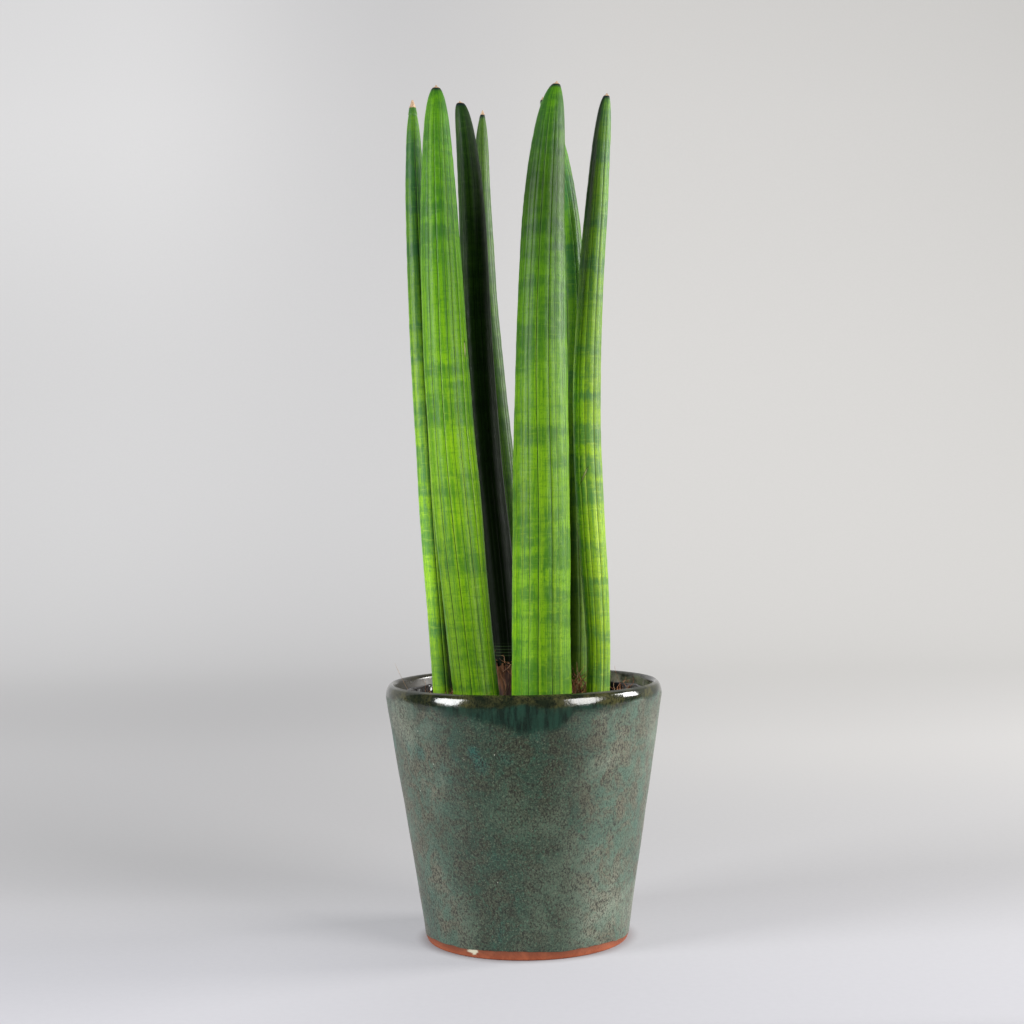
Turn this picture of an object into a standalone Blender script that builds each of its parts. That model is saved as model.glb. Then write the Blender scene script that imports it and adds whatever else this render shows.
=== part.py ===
"""Potted snake plant of the cylindrical kind: seven upright spikes in a growing pot,
dropped into a tapered, glazed terracotta planter.

Metres, +Z up. The origin is on the planter's axis, in the plane of its foot. The growing
pot takes its sizes from the inside of the planter, the mix from the inside of the growing
pot, and each leaf stands at its own bearing, as far out as its share of the room allows, or
a little aside of that place where a neighbour is too close.
"""
import itertools
import math
import random
from collections import namedtuple

import bmesh
import bpy
from mathutils import Matrix, Vector

# Faces that touch keep this gap.
GAP = 0.0003

# Planter: a straight cone of even wall, with a round lip and a turned foot.
PLANTER_HEIGHT = 0.125
PLANTER_RIM_RADIUS = 0.0675
PLANTER_FOOT_RADIUS = 0.049
PLANTER_WALL = 0.0045
PLANTER_FLOOR = 0.007
PLANTER_FLOOR_FILLET = 0.003
FOOT_RING_WIDTH = 0.007
FOOT_RECESS = 0.0015
FOOT_EDGE_RADIUS = 0.0008

# Growing pot: thin plastic, a thick band at the rim, a raised base with drain holes.
POT_RIM_DROP = 0.0045
POT_RIM_CLEARANCE = 0.003
POT_BASE_CLEARANCE = 0.0005
POT_WALL = 0.001
POT_RIM_BAND_HEIGHT = 0.008
POT_RIM_BAND_STEP = 0.0015
POT_BASE_RAISE = 0.002
POT_BASE_RING_WIDTH = 0.006
POT_EDGE_RADIUS = 0.001
DRAIN_HOLES = 8
DRAIN_HOLE_RADIUS = 0.004
DRAIN_HOLE_EDGE = 0.007
DRAIN_CUT_DEPTH = 0.006

# Potting mix: its level is measured down from the growing pot's rim.
MIX_DROP = 0.0075
MIX_MOUND = 0.003
MIX_RIPPLE = 0.0007
MIX_RIPPLE_WAVES = 3
MIX_RIPPLE_TURN = 1.0
MIX_RINGS = 6
MIX_CUT_HEIGHT = 0.006

# Leaves: how deep they stand, and the shape that all of them share.
LEAF_BURIED = 0.030
LEAF_ROOT_SHARE = 0.55
LEAF_POINT = 0.33
LEAF_TIP_RADIUS = 0.0005
LEAF_WAIST_HEIGHT = 0.10
LEAF_CLEARANCE = 0.001
LEAF_SPACING = 0.0015
LEAF_SIDES = 16
LEAF_RINGS = 18
LEAF_RING_CROWDING = 1.7
LEAF_BURIED_RINGS = 3
SETTLING_STEPS = 20

# Each leaf: bearing from +X in degrees, how far out of the middle it stands as a share of
# the room, length above the mix, greatest diameter, a shoulder that is higher the later
# the leaf narrows, its diameter at the mix as a share of the greatest, and how far its
# bow carries it sideways from its foot, as Bezier handles evenly spaced up to the tip.
Leaf = namedtuple("Leaf", "name bearing share length girth shoulder waist handles")
LEAVES = (
    Leaf("leaf_left_outer", 177, 0.79, 0.3000, 0.0116, 5.0, 0.94,
         ((-0.0065, 0.002), (-0.0110, 0.005), (-0.0119, 0.008))),
    Leaf("leaf_left_front", 225, 0.72, 0.3015, 0.0236, 2.5, 0.92,
         ((-0.0105, 0.001), (-0.0161, 0.005), (-0.0158, 0.008))),
    Leaf("leaf_left_rear", 132, 0.255, 0.2975, 0.0150, 5.0, 0.95,
         ((0.0020, -0.001), (-0.0215, -0.003), (-0.0065, -0.005), (-0.0185, -0.006))),
    Leaf("leaf_rear", 89, 0.645, 0.2975, 0.0106, 5.0, 0.95,
         ((-0.0025, -0.003), (-0.0220, -0.005), (-0.0165, -0.008))),
    Leaf("leaf_front", 286, 0.74, 0.2995, 0.0280, 2.0, 1.00,
         ((0.0000, 0.000), (0.0045, 0.001), (-0.0005, 0.002), (0.0110, 0.003))),
    Leaf("leaf_right_rear", 34, 0.595, 0.2995, 0.0141, 4.5, 0.95,
         ((0.0030, -0.002), (-0.0015, -0.005), (0.0145, -0.008), (-0.0095, -0.010))),
    Leaf("leaf_right", 347, 0.77, 0.2990, 0.0139, 3.5, 0.80,
         ((0.0060, 0.001), (-0.0125, 0.002), (-0.0015, 0.003), (0.0025, 0.0045), (0.0090, 0.006))),
)

# Dry sheath: the papery scale leaf wrapped round the foot of one leaf.
SHEATHED_LEAF = "leaf_left_rear"
SHEATH_HEIGHT = 0.022
SHEATH_BURIED = 0.004
SHEATH_WALL = 0.0012
SHEATH_TEAR = 0.003
# Each wave of the torn edge: its share of the tear, how many go round the leaf, its turn.
SHEATH_TEAR_WAVES = ((0.6, 2, 0.7), (0.4, 5, 0.0))

# Coir tufts: a knot half sunk in the mix, with stiff strands that splay upwards.
Tuft = namedtuple("Tuft", "name bearing share knot strands reach seed")
TUFTS = (
    Tuft("coir_tuft_middle", 4, 0.50, 0.0040, 7, 0.015, 3),
    Tuft("coir_tuft_right", 4, 0.95, 0.0034, 6, 0.010, 5),
    Tuft("coir_tuft_left", 159, 0.97, 0.0034, 5, 0.008, 8),
    Tuft("coir_tuft_front", 195, 0.70, 0.0028, 4, 0.006, 13),
)
TUFT_FLATNESS = 0.7
TUFT_STRAND_TAPER = 0.55
TUFT_STRAND_JOINTS = 3
TUFT_SPLAY = 0.35
TUFT_SHORTEST_STRAND = 0.6
TUFT_UPWARD_FACE = 0.75
TUFT_SPACING = 0.002

TURNED_SEGMENTS = 48
ARC_STEPS = 6

TERRACOTTA_GLAZE = ((0.085, 0.120, 0.100), 0.25)
BLACK_PLASTIC = ((0.010, 0.010, 0.011), 0.22)
POTTING_MIX = ((0.030, 0.018, 0.011), 0.95)
LEAF_GREEN = ((0.140, 0.290, 0.035), 0.45)
LEAF_DARK_GREEN = ((0.020, 0.060, 0.018), 0.45)
DRY_SHEATH = ((0.230, 0.100, 0.055), 0.85)
COIR = ((0.200, 0.085, 0.040), 0.90)


def material(name, finish):
    """A Principled material of one colour and roughness."""
    colour, roughness = finish
    made = bpy.data.materials.new(name)
    made.use_nodes = True
    shader = made.node_tree.nodes["Principled BSDF"]
    shader.inputs["Base Color"].default_value = (*colour, 1.0)
    shader.inputs["Roughness"].default_value = roughness
    shader.inputs["Metallic"].default_value = 0.0
    return made


def piece(name, bm, made_of=None, smooth_under=40):
    """Turns a bmesh into a named object, smooth but for its sharp edges."""
    bmesh.ops.recalc_face_normals(bm, faces=bm.faces)
    mesh = bpy.data.meshes.new(name)
    bm.to_mesh(mesh)
    bm.free()
    mesh.shade_smooth()
    mesh.set_sharp_from_angle(angle=math.radians(smooth_under))
    if made_of is not None:
        mesh.materials.append(made_of)
    made = bpy.data.objects.new(name, mesh)
    bpy.context.scene.collection.objects.link(made)
    return made


def cut(body, name, bm):
    """Takes a closed shape out of a body with an exact Boolean."""
    cutter = piece(name, bm)
    cutter.hide_render = True
    cutter.display_type = "WIRE"
    boolean = body.modifiers.new(name, "BOOLEAN")
    boolean.operation = "DIFFERENCE"
    boolean.solver = "EXACT"
    boolean.object = cutter


def arc(centre_r, centre_z, radius, start, end):
    """Profile points along an arc, between two angles in degrees."""
    angles = [math.radians(start + (end - start) * i / ARC_STEPS) for i in range(ARC_STEPS + 1)]
    return [(centre_r + radius * math.cos(a), centre_z + radius * math.sin(a)) for a in angles]


def turned(profile):
    """A closed body turned about +Z from (radius, height) points, both ends on the axis."""
    bm = bmesh.new()
    points = [bm.verts.new((r, 0.0, z)) for r, z in profile]
    edges = [bm.edges.new(pair) for pair in zip(points, points[1:])]
    bmesh.ops.spin(bm, geom=points + edges, cent=(0, 0, 0), axis=(0, 0, 1), dvec=(0, 0, 0),
                   angle=math.tau, steps=TURNED_SEGMENTS, use_merge=True)
    bmesh.ops.remove_doubles(bm, verts=bm.verts, dist=1e-6)
    return bm


def lofted(rings, joined=False):
    """A closed body through rings of points: capped at both ends, or joined end to start."""
    bm = bmesh.new()
    loops = [[bm.verts.new(point) for point in ring] for ring in rings]
    pairs = list(zip(loops, loops[1:]))
    if joined:
        pairs.append((loops[-1], loops[0]))
    else:
        bm.faces.new(reversed(loops[0]))
        bm.faces.new(loops[-1])
    for lower, upper in pairs:
        for i, corner in enumerate(lower):
            j = (i + 1) % len(lower)
            bm.faces.new((corner, lower[j], upper[j], upper[i]))
    return bm


# Planter -----------------------------------------------------------------------------

def planter_outside(z):
    """Radius of the planter's outer wall at a height."""
    share = z / (PLANTER_HEIGHT - PLANTER_WALL / 2)
    return PLANTER_FOOT_RADIUS + (PLANTER_RIM_RADIUS - PLANTER_FOOT_RADIUS) * share


def planter_inside(z):
    """Radius of the planter's inner wall at a height."""
    return planter_outside(z) - PLANTER_WALL


def planter_profile():
    """The outline from the middle of the foot, up the outside, over the lip, to the floor."""
    ring_inner = PLANTER_FOOT_RADIUS - FOOT_RING_WIDTH
    lip = PLANTER_WALL / 2
    lip_z = PLANTER_HEIGHT - lip
    edge = FOOT_EDGE_RADIUS
    fillet = PLANTER_FLOOR_FILLET
    fillet_r = planter_inside(PLANTER_FLOOR) - fillet
    outline = [(0.0, FOOT_RECESS), (ring_inner - FOOT_RECESS, FOOT_RECESS), (ring_inner, 0.0)]
    outline += arc(PLANTER_FOOT_RADIUS - edge, edge, edge, -90, 0)[::2]
    outline += arc(PLANTER_RIM_RADIUS - lip, lip_z, lip, 0, 180)
    outline += arc(fillet_r, PLANTER_FLOOR + fillet, fillet, 0, -90)[::2]
    outline.append((0.0, PLANTER_FLOOR))
    return outline


def make_planter():
    piece("planter", turned(planter_profile()), material("glazed_terracotta", TERRACOTTA_GLAZE))


# Growing pot -------------------------------------------------------------------------

POT_BOTTOM = PLANTER_FLOOR + GAP
POT_TOP = PLANTER_HEIGHT - POT_RIM_DROP
POT_RIM_RADIUS = planter_inside(POT_TOP) - POT_RIM_CLEARANCE
POT_BASE_RADIUS = planter_inside(PLANTER_FLOOR) - PLANTER_FLOOR_FILLET - POT_BASE_CLEARANCE
POT_FLOOR_TOP = POT_BOTTOM + POT_BASE_RAISE + POT_WALL
POT_MOUTH_RADIUS = POT_RIM_RADIUS - POT_RIM_BAND_STEP - POT_WALL


def pot_inside(z):
    """Radius of the growing pot's inner wall at a height."""
    share = (z - POT_FLOOR_TOP) / (POT_TOP - POT_FLOOR_TOP)
    floor_radius = POT_BASE_RADIUS - POT_WALL
    return floor_radius + (POT_MOUTH_RADIUS - floor_radius) * share


def pot_profile():
    """The outline from under the base, up the outside, over the rim band, to the floor."""
    edge = POT_EDGE_RADIUS
    ring_inner = POT_BASE_RADIUS - POT_BASE_RING_WIDTH
    band_bottom = POT_TOP - POT_RIM_BAND_HEIGHT
    raised = POT_BOTTOM + POT_BASE_RAISE
    outline = [(0.0, raised), (ring_inner - POT_BASE_RAISE, raised), (ring_inner, POT_BOTTOM)]
    outline += arc(POT_BASE_RADIUS - edge, POT_BOTTOM + edge, edge, -90, 0)[::2]
    outline += [(pot_inside(band_bottom) + POT_WALL, band_bottom), (POT_RIM_RADIUS, band_bottom)]
    outline += arc(POT_RIM_RADIUS - edge, POT_TOP - edge, edge, 0, 90)[::2]
    outline += [(POT_MOUTH_RADIUS, POT_TOP), (POT_BASE_RADIUS - POT_WALL, POT_FLOOR_TOP)]
    outline.append((0.0, POT_FLOOR_TOP))
    return outline


def make_nursery_pot():
    pot = piece("nursery_pot", turned(pot_profile()), material("black_plastic", BLACK_PLASTIC))
    middle = POT_BASE_RADIUS - POT_BASE_RING_WIDTH - DRAIN_HOLE_EDGE - DRAIN_HOLE_RADIUS
    for i in range(DRAIN_HOLES):
        around = Matrix.Rotation(math.tau * i / DRAIN_HOLES, 4, "Z")
        place = around @ Matrix.Translation((middle, 0.0, POT_FLOOR_TOP))
        bm = bmesh.new()
        bmesh.ops.create_cone(bm, cap_ends=True, segments=16, radius1=DRAIN_HOLE_RADIUS,
                              radius2=DRAIN_HOLE_RADIUS, depth=DRAIN_CUT_DEPTH, matrix=place)
        cut(pot, f"drain_hole_{i}", bm)


# Leaves ------------------------------------------------------------------------------

MIX_LEVEL = POT_TOP - MIX_DROP
MIX_RADIUS = pot_inside(MIX_LEVEL) - GAP


def standing_place(bearing, share, radius):
    """Where something of this radius stands in the mix, from its bearing and its share."""
    out = (MIX_RADIUS - radius - LEAF_CLEARANCE) * share
    return Vector((out * math.cos(math.radians(bearing)), out * math.sin(math.radians(bearing))))


def leaf_feet():
    """Where each leaf stands: its own place, but two leaves that would be closer than their
    spacing there push each other apart by even amounts."""
    feet = {leaf.name: standing_place(leaf.bearing, leaf.share, leaf.girth / 2) for leaf in LEAVES}
    for _ in range(SETTLING_STEPS):
        for one, other in itertools.combinations(LEAVES, 2):
            apart = feet[other.name] - feet[one.name]
            needed = (one.girth * one.waist + other.girth * other.waist) / 2 + LEAF_SPACING
            if apart.length < needed:
                push = apart.normalized() * (needed - apart.length) / 2
                feet[one.name] = feet[one.name] - push
                feet[other.name] = feet[other.name] + push
    return feet


LEAF_FEET = leaf_feet()


def leaf_centre(leaf, height):
    """The middle of a leaf at a height above the mix; below it, the leaf runs on straight."""
    foot = LEAF_FEET[leaf.name]
    handles = [foot] + [foot + Vector(handle) for handle in leaf.handles]
    degree = len(handles) - 1
    if height < 0:
        return foot + (handles[1] - foot) * degree * height / leaf.length
    u = height / leaf.length
    weights = [math.comb(degree, i) * u ** i * (1 - u) ** (degree - i) for i in range(degree + 1)]
    return sum((w * handle for w, handle in zip(weights, handles)), Vector((0.0, 0.0)))


def leaf_radius(leaf, height):
    """Half the leaf's diameter: a waist at the mix, a full middle, a long taper to the point."""
    if height < 0:
        narrowing = 1 + (1 - LEAF_ROOT_SHARE) * height / LEAF_BURIED
        return leaf.girth / 2 * leaf.waist * narrowing
    rise = min(height / LEAF_WAIST_HEIGHT, 1.0)
    waist = leaf.waist + (1 - leaf.waist) * rise * rise * (3 - 2 * rise)
    taper = max(1 - (height / leaf.length) ** leaf.shoulder, 0.0) ** LEAF_POINT
    return max(leaf.girth / 2 * waist * taper, LEAF_TIP_RADIUS)


def leaf_ring(leaf, height, grow=0.0, tear=None):
    """One level ring round a leaf, moved out by grow, each point raised by tear."""
    centre = leaf_centre(leaf, height)
    radius = leaf_radius(leaf, height) + grow
    ring = []
    for i in range(LEAF_SIDES):
        angle = math.tau * i / LEAF_SIDES
        raised = tear(angle) if tear else 0.0
        ring.append((centre.x + radius * math.cos(angle), centre.y + radius * math.sin(angle),
                     MIX_LEVEL + height + raised))
    return ring


def leaf_heights(leaf):
    """Ring heights from the buried end to the tip, closer together towards the tip."""
    buried = [-LEAF_BURIED * (1 - i / LEAF_BURIED_RINGS) for i in range(LEAF_BURIED_RINGS)]
    shares = [1 - (1 - i / LEAF_RINGS) ** LEAF_RING_CROWDING for i in range(LEAF_RINGS + 1)]
    return buried + [leaf.length * share for share in shares]


def make_leaves():
    green = material("leaf_green", LEAF_GREEN)
    dark_green = material("leaf_dark_green", LEAF_DARK_GREEN)
    for leaf in LEAVES:
        shaded = leaf.name in ("leaf_left_rear", "leaf_rear")
        rings = [leaf_ring(leaf, height) for height in leaf_heights(leaf)]
        piece(leaf.name, lofted(rings), dark_green if shaded else green)


# Dry sheath --------------------------------------------------------------------------

def sheath_tear(angle):
    """How far the torn top edge rises or falls, round the leaf."""
    waves = [share * math.sin(count * angle + turn) for share, count, turn in SHEATH_TEAR_WAVES]
    return SHEATH_TEAR * sum(waves)


def make_dry_sheath(leaf):
    inner, outer = GAP, GAP + SHEATH_WALL
    levels = (-SHEATH_BURIED, 0.0, SHEATH_HEIGHT / 2)
    rings = [leaf_ring(leaf, level, outer) for level in levels]
    rings.append(leaf_ring(leaf, SHEATH_HEIGHT, outer, sheath_tear))
    rings.append(leaf_ring(leaf, SHEATH_HEIGHT, inner, sheath_tear))
    rings += [leaf_ring(leaf, level, inner) for level in reversed(levels)]
    piece("dry_sheath", lofted(rings, joined=True), material("dry_sheath", DRY_SHEATH))


# Coir tufts --------------------------------------------------------------------------

def tuft_place(tuft):
    """Where a tuft springs from: its own place, or as far aside as the leaves near it need."""
    place = standing_place(tuft.bearing, tuft.share, tuft.knot)
    for _ in range(SETTLING_STEPS):
        for leaf in LEAVES:
            apart = place - LEAF_FEET[leaf.name]
            needed = leaf.girth * leaf.waist / 2 + tuft.knot + TUFT_SPACING
            if apart.length < needed:
                place = place + apart.normalized() * (needed - apart.length)
    return place


def tuft_knot(tuft, grow=0.0):
    """The knot of a tuft: a flattened ball with its middle at the mix's level there."""
    place = tuft_place(tuft)
    radius = tuft.knot + grow
    at = Matrix.Translation((place.x, place.y, mix_height(place.x, place.y)))
    bm = bmesh.new()
    bmesh.ops.create_icosphere(bm, subdivisions=2, radius=radius,
                               matrix=at @ Matrix.Diagonal((1, 1, TUFT_FLATNESS, 1)))
    return bm


def make_tuft(tuft, made_of):
    """A knot whose upper faces are drawn out, joint by joint, into tapering strands."""
    bm = tuft_knot(tuft)
    bm.normal_update()
    draw = random.Random(tuft.seed)
    upper = [face for face in bm.faces if face.normal.z > TUFT_UPWARD_FACE]
    for face in draw.sample(upper, min(tuft.strands, len(upper))):
        length = tuft.reach * draw.uniform(TUFT_SHORTEST_STRAND, 1.0)
        lean = Vector((face.normal.x, face.normal.y, 0.0)) * TUFT_SPLAY
        step = (Vector((0.0, 0.0, 1.0)) + lean) * length / TUFT_STRAND_JOINTS
        for _ in range(TUFT_STRAND_JOINTS):
            face = bmesh.ops.extrude_discrete_faces(bm, faces=[face])["faces"][0]
            middle = face.calc_center_median()
            for vert in face.verts:
                vert.co = middle + (vert.co - middle) * TUFT_STRAND_TAPER + step
    piece(tuft.name, bm, made_of)


# Potting mix -------------------------------------------------------------------------

def mix_height(x, y):
    """Height of the mix's top: level at the pot's wall, mounded and rippled inside it."""
    share = min(math.hypot(x, y) / MIX_RADIUS, 1.0)
    bearing = math.atan2(y, x)
    inside = 1 - share * share
    ripple = MIX_RIPPLE * math.sin(MIX_RIPPLE_WAVES * bearing + MIX_RIPPLE_TURN) * share
    return MIX_LEVEL + inside * (MIX_MOUND + ripple)


def make_potting_mix():
    """A body that fills the growing pot, with a socket for each thing that stands in it."""
    bottom = POT_FLOOR_TOP + GAP
    outline = [(0.0, bottom), (pot_inside(bottom) - GAP, bottom)]
    outline += [(MIX_RADIUS * i / MIX_RINGS, MIX_LEVEL) for i in range(MIX_RINGS, -1, -1)]
    bm = turned(outline)
    for vert in bm.verts:
        if vert.co.z > MIX_LEVEL - GAP:
            vert.co.z = mix_height(vert.co.x, vert.co.y)
    mix = piece("potting_mix", bm, material("potting_mix", POTTING_MIX))
    for leaf in LEAVES:
        heights = [h for h in leaf_heights(leaf) if h <= 0] + [MIX_CUT_HEIGHT]
        heights[0] -= GAP
        cut(mix, f"{leaf.name}_socket", lofted([leaf_ring(leaf, h, GAP) for h in heights]))
        if leaf.name == SHEATHED_LEAF:
            room = 2 * GAP + SHEATH_WALL
            heights = (-SHEATH_BURIED - GAP, MIX_CUT_HEIGHT)
            cut(mix, "sheath_socket", lofted([leaf_ring(leaf, h, room) for h in heights]))
    for tuft in TUFTS:
        cut(mix, f"{tuft.name}_socket", tuft_knot(tuft, GAP))


def clear_scene():
    for old in list(bpy.data.objects):
        bpy.data.objects.remove(old, do_unlink=True)


clear_scene()
make_planter()
make_nursery_pot()
make_leaves()
make_dry_sheath(next(leaf for leaf in LEAVES if leaf.name == SHEATHED_LEAF))
coir = material("coir", COIR)
for coir_tuft in TUFTS:
    make_tuft(coir_tuft, coir)
make_potting_mix()
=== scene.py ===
import math

import bpy
import numpy as np
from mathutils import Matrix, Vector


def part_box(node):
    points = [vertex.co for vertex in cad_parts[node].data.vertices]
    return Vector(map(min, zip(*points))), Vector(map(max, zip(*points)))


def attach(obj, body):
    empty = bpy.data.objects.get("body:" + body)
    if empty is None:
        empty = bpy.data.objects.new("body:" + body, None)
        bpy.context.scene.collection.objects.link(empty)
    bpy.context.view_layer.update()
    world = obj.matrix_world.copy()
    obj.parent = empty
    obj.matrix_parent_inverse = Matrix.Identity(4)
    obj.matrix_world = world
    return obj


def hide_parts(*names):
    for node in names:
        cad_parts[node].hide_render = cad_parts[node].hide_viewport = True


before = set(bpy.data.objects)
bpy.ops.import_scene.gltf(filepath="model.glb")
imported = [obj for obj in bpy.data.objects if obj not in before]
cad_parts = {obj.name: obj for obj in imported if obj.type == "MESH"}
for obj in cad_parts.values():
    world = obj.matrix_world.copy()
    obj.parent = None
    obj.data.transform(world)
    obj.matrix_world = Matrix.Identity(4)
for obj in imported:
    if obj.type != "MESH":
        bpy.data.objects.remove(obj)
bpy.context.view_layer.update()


# Planter. One turned and fired piece of terracotta: a straight tapered wall, a round lip and a
# low foot ring. It is dipped in a mottled green glaze that stops in a wavy line above the foot
# and pools dark and shiny on the lip; the foot and the underside stay bare clay.

def corners(node):
    """The CAD node's vertices as an array of points."""
    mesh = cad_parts[node].data
    found = np.empty(len(mesh.vertices) * 3, np.float32)
    mesh.vertices.foreach_get("co", found)
    return found.reshape(-1, 3).astype(float)


def skin(name, rings, bottom=None, top=None, joined=False):
    """A smooth closed skin over rings[ring, point, xyz]: quads between neighbouring rings, round
    and round. bottom and top are points that close the first and the last ring as a fan;
    joined closes the last ring on the first instead."""
    rows, columns = rings.shape[:2]
    count = rows * columns
    index = np.arange(count).reshape(rows, columns)
    upper = np.roll(index, -1, axis=0) if joined else index[1:]
    lower = index if joined else index[:-1]
    quads = np.stack([lower, np.roll(lower, -1, 1), np.roll(upper, -1, 1), upper], -1)
    points = [rings.reshape(-1, 3)]
    fans = []
    if bottom is not None:
        points.append(np.reshape(bottom, (1, 3)))
        fans.append(np.stack([np.roll(index[0], -1), index[0], np.full(columns, count)], -1))
        count += 1
    if top is not None:
        points.append(np.reshape(top, (1, 3)))
        fans.append(np.stack([index[-1], np.roll(index[-1], -1), np.full(columns, count)], -1))
    faces = quads.reshape(-1, 4).tolist() + [face for fan in fans for face in fan.tolist()]
    return made_of_faces(name, np.concatenate(points), faces)


def made_of_faces(name, points, faces):
    """A smooth-shaded mesh object at the origin, from points and faces."""
    mesh = bpy.data.meshes.new(name)
    mesh.from_pydata(points.tolist(), [], faces)
    mesh.shade_smooth()
    mesh.update()
    made = bpy.data.objects.new(name, mesh)
    bpy.context.scene.collection.objects.link(made)
    return made


def mark(piece, name, values):
    """Stores one number, or one vector, for each vertex; missing ones at the end repeat."""
    values = np.asarray(values, np.float32)
    vector = values.ndim > 1 and values.shape[-1] == 3
    values = values.reshape(-1, 3) if vector else values.reshape(-1)
    short = len(piece.data.vertices) - len(values)
    if short:
        values = np.concatenate([values, np.repeat(values[-1:], short, axis=0)])
    kind = "FLOAT_VECTOR" if vector else "FLOAT"
    layer = piece.data.attributes.get(name) or piece.data.attributes.new(name, kind, "POINT")
    layer.data.foreach_set("vector" if vector else "value", values.ravel())


def waves(points, size, seed, count=28):
    """Soft random relief, about -1 to 1: plane waves about size long, each in its own random
    direction with its own phase, added up."""
    draw = np.random.default_rng(seed)
    directions = draw.normal(size=(count, points.shape[-1]))
    directions /= np.linalg.norm(directions, axis=1, keepdims=True)
    lengths = size * draw.uniform(0.6, 1.7, (count, 1))
    phases = draw.uniform(0, math.tau, count)
    return np.cos(points @ (directions / lengths * math.tau).T + phases).sum(-1) / math.sqrt(count)


def smooth_step(low, high, value):
    """0 below low, 1 above high, and an even S between them."""
    share = np.clip((value - low) / (high - low), 0, 1)
    return share * share * (3 - 2 * share)


def arc(centre_r, centre_z, radius, start, end, steps):
    """Profile points, as (radius, height) rows, along an arc between two angles in degrees."""
    angles = np.radians(np.linspace(start, end, steps))
    return np.stack([centre_r + radius * np.cos(angles), centre_z + radius * np.sin(angles)], -1)


def run(start, end, steps):
    """Profile points along a straight stretch, without its two ends."""
    share = np.linspace(0, 1, steps + 2)[1:-1, None]
    return np.array(start) * (1 - share) + np.array(end) * share


def turned(profile, columns):
    """Rings round +Z: point (radius, height) of the profile goes to every bearing in turn."""
    bearing = np.linspace(0, math.tau, columns, endpoint=False)
    r, z = profile[:, :1], profile[:, 1:]
    return np.stack([r * np.cos(bearing), r * np.sin(bearing), z + 0 * bearing], -1)


def new_material(name):
    """A material with only its Principled shader: (material, tree, shader)."""
    material = bpy.data.materials.new(name)
    material.use_nodes = True
    tree = material.node_tree
    return material, tree, tree.nodes["Principled BSDF"]


def put(tree, socket, value):
    """Gives a socket another node's output, or a plain number, colour or vector."""
    if isinstance(value, bpy.types.NodeSocket):
        tree.links.new(value, socket)
    elif hasattr(value, "__len__") and len(value) == 3 and socket.type == "RGBA":
        socket.default_value = (*value, 1.0)
    else:
        socket.default_value = value


def place(tree, attribute=None):
    """Where the surface is: Object coordinates, or the piece's own attribute."""
    if attribute is None:
        return tree.nodes.new("ShaderNodeTexCoord").outputs["Object"]
    node = tree.nodes.new("ShaderNodeAttribute")
    node.attribute_name = attribute
    return node.outputs["Vector"]


def amount(tree, attribute):
    """A number that the piece carries for each vertex."""
    node = tree.nodes.new("ShaderNodeAttribute")
    node.attribute_name = attribute
    return node.outputs["Fac"]


def stretched(tree, at, scale):
    """The place, multiplied by a scale for each axis."""
    node = tree.nodes.new("ShaderNodeVectorMath")
    node.operation = "MULTIPLY"
    put(tree, node.inputs[0], at)
    put(tree, node.inputs[1], scale)
    return node.outputs[0]


def noise(tree, at, scale, detail=3.0, roughness=0.55, distortion=0.0):
    """Cloudy noise, 0 to 1, with features about one over scale across."""
    node = tree.nodes.new("ShaderNodeTexNoise")
    put(tree, node.inputs["Vector"], at)
    node.inputs["Scale"].default_value = scale
    node.inputs["Detail"].default_value = detail
    node.inputs["Roughness"].default_value = roughness
    node.inputs["Distortion"].default_value = distortion
    return node.outputs["Fac"]


def between(tree, value, low, high, to_low=0.0, to_high=1.0):
    """Maps low..high onto to_low..to_high with an S, and clamps outside."""
    node = tree.nodes.new("ShaderNodeMapRange")
    node.interpolation_type = "SMOOTHSTEP"
    put(tree, node.inputs["Value"], value)
    for name, number in zip(("From Min", "From Max", "To Min", "To Max"),
                            (low, high, to_low, to_high)):
        node.inputs[name].default_value = number
    return node.outputs["Result"]


def maths(tree, operation, a, b=0.0):
    """One step of arithmetic on one or two numbers."""
    node = tree.nodes.new("ShaderNodeMath")
    node.operation = operation
    put(tree, node.inputs[0], a)
    put(tree, node.inputs[1], b)
    return node.outputs[0]


def times(tree, a, b):
    """The product of two numbers."""
    return maths(tree, "MULTIPLY", a, b)


def plus(tree, a, b):
    """The sum of two numbers."""
    return maths(tree, "ADD", a, b)


def over(tree, under, cover, share, blend="MIX"):
    """Lays one colour over another by a share."""
    node = tree.nodes.new("ShaderNodeMix")
    node.data_type = "RGBA"
    node.blend_type = blend
    put(tree, node.inputs[0], share)
    put(tree, node.inputs[6], under)
    put(tree, node.inputs[7], cover)
    return node.outputs[2]


def bump(tree, height, depth, under=None):
    """Relief of this depth in metres, on top of another relief if there is one."""
    node = tree.nodes.new("ShaderNodeBump")
    node.inputs["Distance"].default_value = depth
    put(tree, node.inputs["Height"], height)
    if under is not None:
        put(tree, node.inputs["Normal"], under)
    return node.outputs["Normal"]


def dots(tree, at, scale, size, share):
    """Round specks: one in some cells of a Voronoi pattern, size as a share of the cell."""
    node = tree.nodes.new("ShaderNodeTexVoronoi")
    put(tree, node.inputs["Vector"], at)
    node.inputs["Scale"].default_value = scale
    split = tree.nodes.new("ShaderNodeSeparateColor")
    put(tree, split.inputs[0], node.outputs["Color"])
    chosen = maths(tree, "LESS_THAN", split.outputs[0], share)
    spot = between(tree, node.outputs["Distance"], size * 0.6, size, 1.0, 0.0)
    return times(tree, chosen, spot)


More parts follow.
